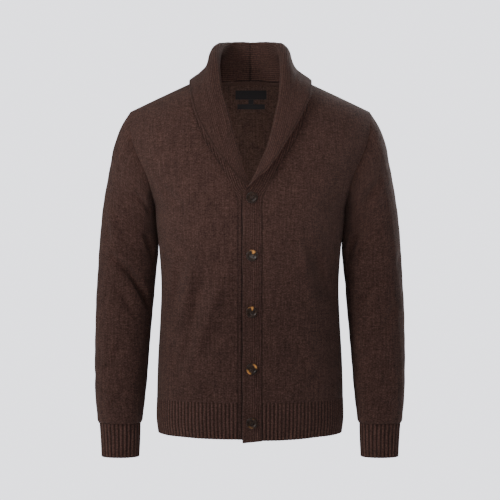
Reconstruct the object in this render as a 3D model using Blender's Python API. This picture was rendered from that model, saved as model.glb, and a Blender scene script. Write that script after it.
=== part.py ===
# Shawl collar cardigan in its worn shape, hollow, with nobody in it.
# Metres, +Z up. The front faces -Y and the wearer's left is +X.
# The origin lies between the shoulders, at the height of the base of the neck.
# Every cloth piece is a wall: a grid of points on its outer face, moved in by its thickness.

import math

import bpy
import numpy as np

# Thicknesses and gaps.
PLAIN_WALL = 0.0018
RIB_WALL = 0.0024
COLLAR_WALL = 0.0022
SEAM_GAP = 0.0003
SLEEVE_GAP = 0.0008
TRIM_WALL = 0.0008
LABEL_GAP = 0.0020
TAPE_GAP = 0.0011

# Heights.
HEM_Z = -0.677
HEM_RIB_TOP_Z = -0.612
UNDERARM_Z = -0.255
BAND_FOOT_Z = -0.683

# Shoulders.
SHOULDER_X = 0.228
SHOULDER_Z = -0.0718
SHOULDER_SLOPE = 0.4726
NECK_ROUND = 0.03
SHOULDER_SPREAD = 0.0655
SPREAD_POWER = 3.5
RIDGE_BACK = 0.008
SQUARENESS = 2.4
FRONT_ROUND = 2.4
BACK_ROUND = 3.0

# The body's sections, from the hem up to the underarm.
# height, half width, front depth, back depth
TORSO_LEVELS = (
    (-0.690, 0.1715, 0.1165, 0.1080),
    (-0.677, 0.1735, 0.1180, 0.1095),
    (-0.655, 0.1765, 0.1205, 0.1120),
    (-0.612, 0.1762, 0.1225, 0.1135),
    (-0.540, 0.1742, 0.1230, 0.1135),
    (-0.470, 0.1702, 0.1225, 0.1115),
    (-0.400, 0.1680, 0.1225, 0.1110),
    (-0.334, 0.1720, 0.1255, 0.1135),
    (-0.290, 0.1758, 0.1275, 0.1165),
    (-0.255, 0.1795, 0.1285, 0.1195),
    (-0.235, 0.1795, 0.1285, 0.1200),
)

# The armhole seen from the front, from the shoulder to the underarm: across, height.
ARMHOLE = (
    (0.2280, -0.0718),
    (0.2262, -0.1000),
    (0.2195, -0.1330),
    (0.2078, -0.1630),
    (0.1955, -0.1890),
    (0.1875, -0.2120),
    (0.1828, -0.2350),
    (0.1795, -0.2550),
)

# The seam of the collar on the front, from the break up to the shoulder: across, height.
FRONT_NECK = (
    (0.0228, -0.2550),
    (0.0238, -0.2420),
    (0.0297, -0.2255),
    (0.0470, -0.1927),
    (0.0602, -0.1708),
    (0.0757, -0.1475),
    (0.0900, -0.1200),
    (0.0990, -0.0965),
    (0.1075, -0.0620),
    (0.1110, -0.0175),
)

# The back neck seam: across, and how far up from the underarm (0) to the shoulder line (1).
BACK_NECK = (
    (0.1110, 1.000),
    (0.1065, 0.930),
    (0.0920, 0.860),
    (0.0620, 0.760),
    (0.0310, 0.690),
    (0.0000, 0.660),
)

# Button band, flat on the front.
BAND_SEAM_X = 0.0228
TOP_BAND_EDGE_X = -0.0160
UNDER_BAND_EDGE_X = -0.0180
LAP = 0.0034
LAP_FADE_X = 0.085

# The collar, a row for each section across it, from the underarm's level up to the centre back.
# share of the neck seam's length; roll across, out, up; free edge across, out, up; roll radius
LEFT_COLLAR = (
    (0.000, -0.0160, -0.1290, -0.2550, -0.0160, -0.1290, -0.2550, 0.0010),
    (0.032, -0.0145, -0.1305, -0.2400, -0.0145, -0.1305, -0.2400, 0.0010),
    (0.052, -0.0085, -0.1330, -0.2250, -0.0085, -0.1330, -0.2250, 0.0010),
    (0.068, 0.0010, -0.1345, -0.2130, 0.0014, -0.1380, -0.2150, 0.0016),
    (0.086, 0.0085, -0.1350, -0.1995, 0.0120, -0.1410, -0.2050, 0.0024),
    (0.121, 0.0168, -0.1325, -0.1830, 0.0255, -0.1420, -0.1953, 0.0036),
    (0.184, 0.0281, -0.1260, -0.1560, 0.0445, -0.1400, -0.1725, 0.0046),
    (0.294, 0.0391, -0.1160, -0.1180, 0.0655, -0.1310, -0.1395, 0.0052),
    (0.397, 0.0476, -0.1010, -0.0800, 0.0870, -0.1170, -0.1040, 0.0058),
    (0.510, 0.0554, -0.0760, -0.0330, 0.1045, -0.0960, -0.0650, 0.0066),
    (0.560, 0.0570, -0.0580, -0.0090, 0.1115, -0.0790, -0.0470, 0.0072),
    (0.600, 0.0577, -0.0400, 0.0130, 0.1140, -0.0580, -0.0320, 0.0078),
    (0.640, 0.0582, -0.0200, 0.0290, 0.1152, -0.0310, -0.0190, 0.0084),
    (0.690, 0.0585, 0.0020, 0.0430, 0.1155, 0.0040, -0.0110, 0.0088),
    (0.765, 0.0560, 0.0400, 0.0610, 0.1060, 0.0460, -0.0100, 0.0086),
    (0.840, 0.0450, 0.0740, 0.0690, 0.0820, 0.0790, -0.0130, 0.0078),
    (0.922, 0.0250, 0.0890, 0.0722, 0.0430, 0.0970, -0.0160, 0.0070),
    (1.000, 0.0000, 0.0930, 0.0722, 0.0000, 0.1030, -0.0180, 0.0068),
)
RIGHT_COLLAR = (
    (0.000, -0.0180, -0.1240, -0.2550, -0.0180, -0.1240, -0.2550, 0.0010),
    (0.032, -0.0160, -0.1242, -0.2400, -0.0160, -0.1242, -0.2400, 0.0010),
    (0.052, -0.0095, -0.1250, -0.2270, -0.0095, -0.1250, -0.2270, 0.0010),
    (0.068, 0.0010, -0.1265, -0.2130, 0.0030, -0.1275, -0.2175, 0.0016),
    (0.086, 0.0067, -0.1285, -0.1995, 0.0140, -0.1320, -0.2105, 0.0022),
    (0.121, 0.0136, -0.1285, -0.1830, 0.0250, -0.1350, -0.2010, 0.0030),
    (0.184, 0.0206, -0.1250, -0.1560, 0.0423, -0.1350, -0.1799, 0.0040),
    (0.294, 0.0305, -0.1160, -0.1180, 0.0630, -0.1290, -0.1530, 0.0046),
    (0.397, 0.0402, -0.1010, -0.0800, 0.0865, -0.1170, -0.1130, 0.0052),
    (0.510, 0.0526, -0.0760, -0.0330, 0.1030, -0.0980, -0.0740, 0.0062),
    (0.560, 0.0560, -0.0580, -0.0090, 0.1090, -0.0790, -0.0500, 0.0070),
    (0.600, 0.0577, -0.0400, 0.0130, 0.1120, -0.0580, -0.0340, 0.0076),
    (0.640, 0.0582, -0.0200, 0.0290, 0.1135, -0.0310, -0.0200, 0.0084),
    (0.690, 0.0585, 0.0020, 0.0430, 0.1140, 0.0040, -0.0110, 0.0088),
    (0.765, 0.0560, 0.0400, 0.0610, 0.1060, 0.0460, -0.0100, 0.0086),
    (0.840, 0.0450, 0.0740, 0.0690, 0.0820, 0.0790, -0.0130, 0.0078),
    (0.922, 0.0250, 0.0890, 0.0722, 0.0430, 0.0970, -0.0160, 0.0070),
    (1.000, 0.0000, 0.0930, 0.0722, 0.0000, 0.1030, -0.0180, 0.0068),
)

# How far the middle of the fall stands out from a straight line, in roll radii, along the neck seam.
FALL_BULGE = (
    (0.00, 0.5),
    (0.50, 0.5),
    (0.62, -0.2),
    (0.72, -0.4),
    (0.85, -0.2),
    (1.00, 0.0),
)

# Sleeve sections from the armhole to the cuff.
# outer across, outer height, inner across, inner height, front depth, back depth
SLEEVE = (
    (0.2282, -0.0720, 0.1800, -0.2552, -0.0480, 0.0640),
    (0.2430, -0.0950, 0.1812, -0.2600, -0.0510, 0.0720),
    (0.2575, -0.1290, 0.1806, -0.2700, -0.0510, 0.0770),
    (0.2673, -0.1750, 0.1785, -0.2850, -0.0480, 0.0790),
    (0.2773, -0.2318, 0.1756, -0.3060, -0.0450, 0.0770),
    (0.2859, -0.3050, 0.1752, -0.3400, -0.0430, 0.0710),
    (0.2901, -0.3850, 0.1808, -0.3950, -0.0450, 0.0610),
    (0.2932, -0.4650, 0.1863, -0.4680, -0.0520, 0.0480),
    (0.2932, -0.5400, 0.1917, -0.5420, -0.0590, 0.0340),
    (0.2911, -0.6050, 0.1971, -0.6060, -0.0620, 0.0200),
    (0.2864, -0.6585, 0.2025, -0.6585, -0.0600, 0.0090),
)
CUFF = (
    (0.2828, -0.6590, 0.2058, -0.6590, -0.0560, 0.0040),
    (0.2806, -0.6880, 0.2064, -0.6880, -0.0560, 0.0015),
    (0.2788, -0.7210, 0.2080, -0.7210, -0.0560, -0.0010),
)
SLEEVE_SQUARENESS = 2.15

# Buttons on the middle of the bands, and the labels inside the back neck.
BUTTON_X = 0.0035
# height, how far the cloth stands out under it
BUTTONS = ((-0.2395, 0.0038), (-0.3443, 0.0004), (-0.4470, 0.0004), (-0.5502, 0.0004), (-0.6485, 0.0004))
BUTTON_RADIUS = 0.0105
BUTTON_THICK = 0.0034
BUTTON_SIDES = 16
# name, lowest across, highest across, lowest height, highest height
LABELS = (
    ("label_main", -0.0290, 0.0330, -0.0370, -0.0200),
    ("label_size", -0.0030, 0.0070, -0.0460, -0.0376),
    ("label_care", -0.0250, 0.0295, -0.0560, -0.0466),
)

# Largest folds of the cloth, each a soft trough along a straight line on the body or a sleeve.
# from across, from height, to across, to height, half width, depth (minus for a ridge)
FRONT_FOLDS = (
    (-0.120, -0.330, -0.145, -0.450, 0.018, 0.0030),
    (-0.060, -0.430, -0.105, -0.560, 0.020, 0.0026),
    (0.112, -0.330, 0.150, -0.440, 0.018, 0.0030),
    (0.060, -0.480, 0.110, -0.590, 0.020, 0.0022),
)
BACK_FOLDS = (
    (-0.130, -0.300, -0.070, -0.420, 0.022, 0.0030),
    (0.135, -0.310, 0.080, -0.430, 0.022, 0.0030),
    (-0.110, -0.460, -0.040, -0.560, 0.024, 0.0026),
    (0.100, -0.470, 0.045, -0.550, 0.022, 0.0024),
)
# on which side, from turn (degrees round from the outer side over the front), from height, to turn, to height,
# half width, depth
SLEEVE_FOLDS = (
    ("right", 62, -0.345, 128, -0.435, 0.013, 0.0060),
    ("right", 118, -0.300, 150, -0.350, 0.012, 0.0040),
    ("left", 70, -0.380, 130, -0.455, 0.014, 0.0040),
    ("left", 60, -0.200, 105, -0.260, 0.012, 0.0034),
    ("right", 300, -0.330, 245, -0.420, 0.016, 0.0040),
    ("left", 300, -0.340, 240, -0.430, 0.016, 0.0042),
)

# Mesh steps.
PANEL_COLUMNS = 12
NECK_COLUMNS = 7
HEM_ROWS = 3
PANEL_ROWS_LOW = 6
PANEL_ROWS_HIGH = 15
ROW_BUNCHING = 1.4
SLEEVE_SIDES = 20
SLEEVE_RINGS = 16
COLLAR_COLUMNS = 12
ROLL_BUNCHING = 1.4
FULL_FALL = 0.03

KNIT_COLOR = (0.055, 0.032, 0.026, 1.0)
RIB_COLOR = (0.048, 0.028, 0.023, 1.0)
LABEL_COLOR = (0.040, 0.037, 0.042, 1.0)
HORN_COLOR = (0.030, 0.020, 0.016, 1.0)


def smooth(at, knots, values):
    """Value of a smooth curve through a table's column."""
    knots = np.asarray(knots, float)
    values = np.asarray(values, float)
    slopes = np.gradient(values, knots)
    at = np.clip(at, knots[0], knots[-1])
    low = np.clip(np.searchsorted(knots, at) - 1, 0, len(knots) - 2)
    span = knots[low + 1] - knots[low]
    s = (at - knots[low]) / span
    a = (1 + 2 * s) * (1 - s) ** 2
    b = s * (1 - s) ** 2
    c = s * s * (3 - 2 * s)
    d = s * s * (s - 1)
    return a * values[low] + b * span * slopes[low] + c * values[low + 1] + d * span * slopes[low + 1]


def smooth_rows(rows, count):
    """The rows of a table, smoothed and spaced evenly along the line of their first columns."""
    rows = np.array(rows, float)
    steps = np.linalg.norm(np.diff(rows[:, : min(6, rows.shape[1])], axis=0), axis=1)
    along = np.concatenate([[0], np.cumsum(np.maximum(steps, 1e-6))])
    at = np.linspace(0, along[-1], count)
    return np.column_stack([smooth(at, along, column) for column in rows.T])


def smooth_step(t):
    t = np.clip(t, 0, 1)
    return t * t * (3 - 2 * t)


def shoulder_height(x):
    """Height of the shoulder line, a slope that rounds off under the neck."""
    reach = math.hypot(SHOULDER_X, NECK_ROUND)
    return SHOULDER_Z + (reach - np.hypot(x, NECK_ROUND)) * SHOULDER_SLOPE


def half_width(rise):
    levels = np.array(TORSO_LEVELS)
    low = smooth(UNDERARM_Z + np.minimum(rise, 0), levels[:, 0], levels[:, 1])
    up = np.clip(rise, 0, 1)
    return low + SHOULDER_SPREAD * (1 - (1 - up) ** SPREAD_POWER)


def roundness(facing):
    return FRONT_ROUND if facing < 0 else BACK_ROUND


def rise_at(facing, x, z):
    """How far up a point of the body is: metres below the underarm, or 0 to 1 above it."""
    share = np.clip((z - UNDERARM_Z) / (shoulder_height(x) - UNDERARM_Z), 0, 1)
    turn = np.arccos(share ** (roundness(facing) / 2))
    return np.where(z < UNDERARM_Z, z - UNDERARM_Z, 1 - turn / (math.pi / 2))


def angle_at(x, rise):
    share = np.clip(np.abs(x) / half_width(rise), 0, 1)
    return np.arcsin(share ** (SQUARENESS / 2))


def fold_depth(folds, x, z):
    """How far the folds push the cloth in at each point."""
    depth = np.zeros(np.broadcast(x, z).shape)
    for x0, z0, x1, z1, width, deep in folds:
        run = np.array([x1 - x0, z1 - z0])
        length = np.linalg.norm(run)
        run /= length
        along = ((x - x0) * run[0] + (z - z0) * run[1]) / length
        off = (x - x0) * run[1] - (z - z0) * run[0]
        ends = np.sin(math.pi * np.clip(along, 0, 1)) ** 0.7
        depth += deep * ends * np.exp(-((off / width) ** 2))
    return depth


def torso(facing, side, angle, rise, lap=0.0):
    """Points of the body's outer face. Facing is -1 in front; angle is 0 in the middle and 90 degrees at the side."""
    levels = np.array(TORSO_LEVELS)
    up = np.clip(rise, 0, 1)
    down = np.minimum(rise, 0)
    across = half_width(rise) * np.sin(angle) ** (2 / SQUARENESS)
    deep = smooth(UNDERARM_Z + down, levels[:, 0], levels[:, 2 if facing < 0 else 3])
    turn = (1 - up) * math.pi / 2
    power = 2 / roundness(facing)
    z = UNDERARM_Z + down + (shoulder_height(across) - UNDERARM_Z) * np.abs(np.cos(turn)) ** power
    folds = FRONT_FOLDS if facing < 0 else BACK_FOLDS
    out = deep - fold_depth(folds, side * across, z) - lap * (1 - smooth_step((across - 0.03) / LAP_FADE_X))
    y = facing * out * np.abs(np.cos(angle)) ** (2 / SQUARENESS) * np.sin(turn) ** power + RIDGE_BACK * up**2
    return np.stack([side * across, y, z], axis=-1)


def normals_of(surface, u, v, outward):
    """Unit normals of a surface given as a function of two coordinates, turned to match a rough outward direction."""
    step = 1e-4
    across = surface(u + step, v) - surface(u - step, v)
    along = surface(u, v + step) - surface(u, v - step)
    normal = np.cross(across, along)
    normal /= np.linalg.norm(normal, axis=-1, keepdims=True) + 1e-12
    flip = np.sign(np.sum(normal * outward, axis=-1, keepdims=True))
    return normal * np.where(flip == 0, 1, flip)


def torso_patch(facing, side, angle, rise, lap=0.0):
    """Points and outward normals of a patch of the body."""
    points = torso(facing, side, angle, rise, lap)
    angle = np.clip(angle, 1e-3, math.pi / 2 - 1e-3)
    rise = np.minimum(rise, 1 - 2e-3)
    outward = points - np.array([0.0, 0.0, -0.30])
    outward[..., 2] = np.where(rise > 0.5, 0.1, 0.0)
    normals = normals_of(lambda a, r: torso(facing, side, a, r, lap), angle, rise, outward)
    return points, normals


def coons(bottom, top, left, right):
    """A patch between four border curves that share their corners."""
    s = np.linspace(0, 1, len(bottom))[None, :, None]
    t = np.linspace(0, 1, len(left))[:, None, None]
    ruled = (1 - t) * bottom[None] + t * top[None] + (1 - s) * left[:, None] + s * right[:, None]
    corners = (1 - s) * (1 - t) * bottom[0] + s * (1 - t) * bottom[-1] + (1 - s) * t * top[0] + s * t * top[-1]
    return ruled - corners


def border(facing, line, count, given_rise=False, bunching=1.0):
    """A line across the body as angle and rise, at even steps along the cloth, or closer at its start."""
    rows = smooth_rows(line, 400)
    rise = rows[:, 1] if given_rise else rise_at(facing, rows[:, 0], rows[:, 1])
    angle = angle_at(rows[:, 0], rise)
    steps = np.linalg.norm(np.diff(torso(facing, 1, angle, rise), axis=0), axis=1)
    along = np.concatenate([[0], np.cumsum(steps)])
    at = along[-1] * np.linspace(0, 1, count) ** bunching
    return np.column_stack([np.interp(at, along, angle), np.interp(at, along, rise)])


def front_neck_line():
    """The neck seam on the front as angle and rise, from the underarm's level to the shoulder."""
    line = border(-1, FRONT_NECK, PANEL_ROWS_HIGH, bunching=ROW_BUNCHING)
    line[0] = (angle_at(BAND_SEAM_X, 0.0), 0)
    line[-1, 1] = 1
    return line


def back_neck_line():
    """The neck seam on the back, from the shoulder to the centre."""
    line = border(1, BACK_NECK, NECK_COLUMNS, given_rise=True)
    line[0, 1] = 1
    return line


def shoulder_seam(count):
    across = np.linspace(BACK_NECK[0][0], SHOULDER_X, count)
    return np.column_stack([angle_at(across, np.ones(count)), np.ones(count)])


def upper_patch(facing):
    """Angle and rise over the part of a half body that lies above the underarm."""
    armhole = border(facing, ARMHOLE[::-1], PANEL_ROWS_HIGH, bunching=ROW_BUNCHING)
    armhole[0] = (math.pi / 2, 0)
    armhole[-1, 1] = 1
    if facing < 0:
        inner = front_neck_line()
        top = shoulder_seam(PANEL_COLUMNS)
    else:
        rise = BACK_NECK[-1][1] * np.linspace(0, 1, PANEL_ROWS_HIGH) ** ROW_BUNCHING
        inner = np.column_stack([np.zeros(PANEL_ROWS_HIGH), rise])
        top = np.vstack([back_neck_line()[::-1], shoulder_seam(PANEL_COLUMNS - NECK_COLUMNS + 1)[1:]])
    top[0] = inner[-1]
    top[-1] = armhole[-1]
    bottom = np.column_stack([np.linspace(inner[0, 0], math.pi / 2, PANEL_COLUMNS), np.zeros(PANEL_COLUMNS)])
    return coons(bottom, top, inner, armhole)


def lower_patch(start_x, low_z, high_z, rows):
    """Angle and rise over a level stretch of a half body, from a line at a fixed distance across."""
    rise = np.linspace(low_z, high_z, rows) - UNDERARM_Z
    start = angle_at(start_x, rise)[:, None]
    share = np.linspace(0, 1, PANEL_COLUMNS)[None, :]
    angle = start + (math.pi / 2 - start) * share
    return np.stack(np.broadcast_arrays(angle, rise[:, None]), axis=-1)


def pulled_in(points, gap):
    """Border points moved in from the seams, so that neighbours stay a gap apart."""
    points = points.copy()
    for edge, inner in ((0, 1), (-1, -2)):
        step = points[inner] - points[edge]
        points[edge] += step * (gap / (np.linalg.norm(step, axis=-1, keepdims=True) + 1e-12))
        step = points[:, inner] - points[:, edge]
        points[:, edge] += step * (gap / (np.linalg.norm(step, axis=-1, keepdims=True) + 1e-12))
    return points


def material(name, color, roughness, metallic=0.0):
    made = bpy.data.materials.new(name)
    made.use_nodes = True
    shader = made.node_tree.nodes["Principled BSDF"]
    shader.inputs["Base Color"].default_value = color
    shader.inputs["Roughness"].default_value = roughness
    shader.inputs["Metallic"].default_value = metallic
    made.diffuse_color = color
    return made


def add_mesh(name, points, faces, color, roughness=0.9):
    mesh = bpy.data.meshes.new(name)
    mesh.from_pydata([tuple(map(float, p)) for p in points], [], faces)
    mesh.validate()
    made = bpy.data.objects.new(name, mesh)
    bpy.context.scene.collection.objects.link(made)
    mesh.materials.append(material(name, color, roughness))
    mesh.shade_smooth()
    mesh.set_sharp_from_angle(angle=math.radians(50))
    return made


def wall(name, outer, normals, thickness, color, closed=False, rim_in=None):
    """A closed solid from a grid of outer points, moved in along the normals. A closed grid is a tube."""
    rows, columns = outer.shape[:2]
    inner = outer - normals * thickness
    if rim_in is not None:
        inner[0] = rim_in
    points = np.concatenate([outer.reshape(-1, 3), inner.reshape(-1, 3)])
    below = rows * columns
    faces = []
    spans = columns if closed else columns - 1
    for i in range(rows - 1):
        for j in range(spans):
            a = i * columns + j
            b = i * columns + (j + 1) % columns
            c = (i + 1) * columns + (j + 1) % columns
            d = (i + 1) * columns + j
            faces.extend([(a, b, c), (a, c, d)])
            faces.extend([(c + below, b + below, a + below), (d + below, c + below, a + below)])
    for j in range(spans):
        a, b = j, (j + 1) % columns
        faces.append((b, a, a + below, b + below))
        a, b = (rows - 1) * columns + j, (rows - 1) * columns + (j + 1) % columns
        faces.append((a, b, b + below, a + below))
    if not closed:
        for i in range(rows - 1):
            a, b = i * columns, (i + 1) * columns
            faces.append((a, b, b + below, a + below))
            a, b = i * columns + columns - 1, (i + 1) * columns + columns - 1
            faces.append((b, a, a + below, b + below))
    if signed_volume(points, faces) < 0:
        faces = [face[::-1] for face in faces]
    return add_mesh(name, points, faces, color)


def signed_volume(points, faces):
    total = 0.0
    for face in faces:
        for k in range(1, len(face) - 1):
            a, b, c = points[face[0]], points[face[k]], points[face[k + 1]]
            total += float(np.dot(a, np.cross(b, c))) / 6
    return total


def half_body(facing):
    """Angle and rise over a half panel, from the hem rib to the shoulder."""
    start_x = BAND_SEAM_X if facing < 0 else 0.0
    low = lower_patch(start_x, HEM_RIB_TOP_Z, UNDERARM_Z, PANEL_ROWS_LOW)
    return np.concatenate([low[:-1], upper_patch(facing)])


def both_halves(grid):
    """Points and normals of the whole back from the grid of one half."""
    right, left = (torso_patch(1, side, grid[..., 0], grid[..., 1]) for side in (-1, 1))
    return [np.concatenate([a[:, :0:-1], b], axis=1) for a, b in zip(right, left)]


def front_panel(name, side, lap):
    grid = half_body(-1)
    points, normals = torso_patch(-1, side, grid[..., 0], grid[..., 1], lap)
    wall(name, pulled_in(points, SEAM_GAP), normals, PLAIN_WALL, KNIT_COLOR)


def back_panel():
    points, normals = both_halves(half_body(1))
    wall("back", pulled_in(points, SEAM_GAP), normals, PLAIN_WALL, KNIT_COLOR)


def hem_ribs():
    grid = lower_patch(BAND_SEAM_X, HEM_Z, HEM_RIB_TOP_Z, HEM_ROWS)
    for name, side, lap in (("hem_rib_front_left", 1, 0.0), ("hem_rib_front_right", -1, LAP)):
        points, normals = torso_patch(-1, side, grid[..., 0], grid[..., 1], lap)
        wall(name, pulled_in(points, SEAM_GAP), normals, RIB_WALL, RIB_COLOR)
    points, normals = both_halves(lower_patch(0.0, HEM_Z, HEM_RIB_TOP_Z, HEM_ROWS))
    wall("hem_rib_back", pulled_in(points, SEAM_GAP), normals, RIB_WALL, RIB_COLOR)


def armhole_ring(side):
    """The armhole all round, from the shoulder down the front and up the back, with the body's normals there."""
    half = SLEEVE_SIDES // 2 + 1
    ring, outward = [], []
    for facing in (-1, 1):
        line = border(facing, ARMHOLE, half)
        line[0, 1] = 1
        line[-1] = (math.pi / 2, 0)
        lap = LAP if side < 0 and facing < 0 else 0.0
        points, normals = torso_patch(facing, side, line[:, 0], line[:, 1], lap)
        if facing > 0:
            points, normals = points[::-1], normals[::-1]
        ring.append(points[:-1])
        outward.append(normals[:-1])
    return np.concatenate(ring), np.concatenate(outward)


def sleeve_section(rows, side, turn):
    """Rings from rows of a sleeve table, at turns round from the outer side over the front."""
    rows = rows[:, None, :]
    middle_x = (rows[..., 0] + rows[..., 2]) / 2
    middle_z = (rows[..., 1] + rows[..., 3]) / 2
    middle_y = (rows[..., 4] + rows[..., 5]) / 2
    out = np.sign(np.cos(turn)) * np.abs(np.cos(turn)) ** (2 / SLEEVE_SQUARENESS)
    ahead = np.sign(np.sin(turn)) * np.abs(np.sin(turn)) ** (2 / SLEEVE_SQUARENESS)
    x = middle_x + (rows[..., 0] - rows[..., 2]) / 2 * out
    z = middle_z + (rows[..., 1] - rows[..., 3]) / 2 * out
    y = middle_y - (rows[..., 5] - rows[..., 4]) / 2 * ahead
    return np.stack(np.broadcast_arrays(side * x, y, z), axis=-1)


def ring_normals(points, side):
    """Outward normals of rings of points round a tube."""
    around = np.roll(points, -1, axis=1) - np.roll(points, 1, axis=1)
    along = np.gradient(points, axis=0)
    normal = np.cross(around, along)
    normal /= np.linalg.norm(normal, axis=-1, keepdims=True) + 1e-12
    outward = points - points.mean(axis=1, keepdims=True)
    if np.sum(normal * outward) < 0:
        normal = -normal
    return normal


def sleeve_folds(side_name, turn, z):
    depth = np.zeros(np.broadcast(turn, z).shape)
    radius = 0.052
    for where, turn0, z0, turn1, z1, width, deep in SLEEVE_FOLDS:
        if where != side_name:
            continue
        a0, a1 = math.radians(turn0) * radius, math.radians(turn1) * radius
        depth += fold_depth(((a0, z0, a1, z1, width, deep),), turn * radius, z)
    return depth


def sleeve(side_name, side):
    turn = np.arange(SLEEVE_SIDES) * 2 * math.pi / SLEEVE_SIDES
    rows = smooth_rows(SLEEVE, SLEEVE_RINGS)
    rings = sleeve_section(rows, side, turn)
    armhole, body_normals = armhole_ring(side)
    fade = 1 - smooth_step(np.linspace(0, 1, SLEEVE_RINGS) / 0.34)
    rings += fade[:, None, None] * (armhole - rings[0])[None]
    rings[..., 0] += side * SLEEVE_GAP * fade[:, None]
    normals = ring_normals(rings, side)
    rings -= normals * sleeve_folds(side_name, turn, rings[..., 2])[..., None]
    normals = ring_normals(rings, side)
    rim = normals[0] + body_normals
    rim /= np.linalg.norm(rim, axis=-1, keepdims=True)
    low = np.maximum(np.sum(rim * body_normals, axis=-1, keepdims=True), 0.6)
    rim_in = rings[0] - rim * PLAIN_WALL / low
    wall("sleeve_" + side_name, rings, normals, PLAIN_WALL, KNIT_COLOR, closed=True, rim_in=rim_in)
    cuff_rings = sleeve_section(smooth_rows(CUFF, 3), side, turn)
    cuff_rings[0, :, 2] -= SEAM_GAP
    wall("cuff_" + side_name, cuff_rings, ring_normals(cuff_rings, side), RIB_WALL, RIB_COLOR, closed=True)


def spaced_points(points, stand, fall):
    """The columns of a collar section, closer together near its roll."""
    steps = np.linalg.norm(np.diff(points, axis=0), axis=1)
    along = np.concatenate([[0], np.cumsum(steps)])
    split = 0.5 + (stand / (stand + fall) - 0.5) * smooth_step(fall / FULL_FALL)
    t = np.linspace(-1, 1, COLLAR_COLUMNS)
    pull = np.sign(t) * np.abs(t) ** ROLL_BUNCHING
    at = along[-1] * np.where(t < 0, split * (1 + pull), split + (1 - split) * pull)
    return np.column_stack([np.interp(at, along, points[:, k]) for k in range(3)])


def neck_seam(lap):
    """The whole neck seam on the wearer's left, from the underarm's level to the centre back, with normals."""
    ahead, behind = front_neck_line(), back_neck_line()
    front_points, front_normals = torso_patch(-1, 1, ahead[:, 0], ahead[:, 1], lap)
    back_points, back_normals = torso_patch(1, 1, behind[:, 0], behind[:, 1])
    points = np.concatenate([front_points, back_points[1:]])
    return points, np.concatenate([front_normals, back_normals[1:]])


def collar_section(seam, roll, edge, radius, bulge, along):
    """Points across the collar: up the stand from the seam, over the roll and down to the free edge."""
    middle = (seam + edge) / 2
    rise = roll - middle
    rise /= np.linalg.norm(rise) + 1e-9
    out = np.cross(along, rise)
    out /= np.linalg.norm(out) + 1e-9
    fall = np.linalg.norm(edge - roll)
    radius = min(radius, 0.35 * fall)
    knots = [seam, seam * 0.5 + (roll - out * radius) * 0.5 - rise * radius * 0.5]
    if fall > 0.002:
        for turn in (-90, -45, 0, 45, 90):
            a = math.radians(turn)
            knots.append(roll - rise * radius * (1 - math.cos(a)) + out * radius * math.sin(a))
        knots.append(roll * 0.5 + edge * 0.5 + out * radius * bulge)
    knots.append(edge)
    return smooth_rows(knots, 60)


def flat_band(edge_x, lap):
    """Middle of the band below the collar, at the heights of the rows of the panels beside it."""
    heights = np.concatenate([
        [BAND_FOOT_Z],
        np.linspace(HEM_Z, HEM_RIB_TOP_Z, HEM_ROWS),
        np.linspace(HEM_RIB_TOP_Z, UNDERARM_Z, PANEL_ROWS_LOW)[1:-1],
    ])
    across = np.linspace(BAND_SEAM_X, edge_x, COLLAR_COLUMNS)
    rise = np.repeat((heights - UNDERARM_Z)[:, None], COLLAR_COLUMNS, axis=1)
    points, normals = torso_patch(-1, 1, angle_at(across[None, :], rise), rise, lap)
    points[..., 0] = across[None, :]
    return points - normals * COLLAR_WALL / 2


def collar(name, side, table, edge_x, lap):
    """One strip: flat band from the foot to the break, then the collar to the centre back."""
    seam, seam_normals = neck_seam(lap)
    foot = seam - seam_normals * COLLAR_WALL / 2
    steps = np.linalg.norm(np.diff(seam, axis=0), axis=1)
    share = np.concatenate([[0], np.cumsum(steps)]) / steps.sum()
    table = np.array(table)
    rows = np.column_stack([smooth(share, table[:, 0], column) for column in table.T[1:]])
    bulge = smooth(share, *np.array(FALL_BULGE).T)
    along = np.gradient(rows[:, :3], axis=0)
    sections = []
    for k, row in enumerate(rows):
        section = collar_section(foot[k], row[:3], row[3:6], row[6], bulge[k], along[k])
        stand = np.linalg.norm(row[:3] - foot[k])
        fall = np.linalg.norm(row[3:6] - row[:3])
        sections.append(spaced_points(section, stand, fall))
    flat = flat_band(edge_x, lap)
    middle = np.concatenate([flat, np.array(sections)])
    normals = np.cross(np.gradient(middle, axis=1), np.gradient(middle, axis=0))
    normals /= np.linalg.norm(normals, axis=-1, keepdims=True) + 1e-12
    if normals[2, 4, 1] > 0:
        normals = -normals
    normals[len(flat) :, 0] = seam_normals
    middle[-1, :, 0] = SEAM_GAP / 2
    normals[-1, :, 0] = 0
    mirror = np.array([side, 1, 1])
    outer = (middle + normals * COLLAR_WALL / 2) * mirror
    wall(name, outer, normals * mirror, COLLAR_WALL, RIB_COLOR)


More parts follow.
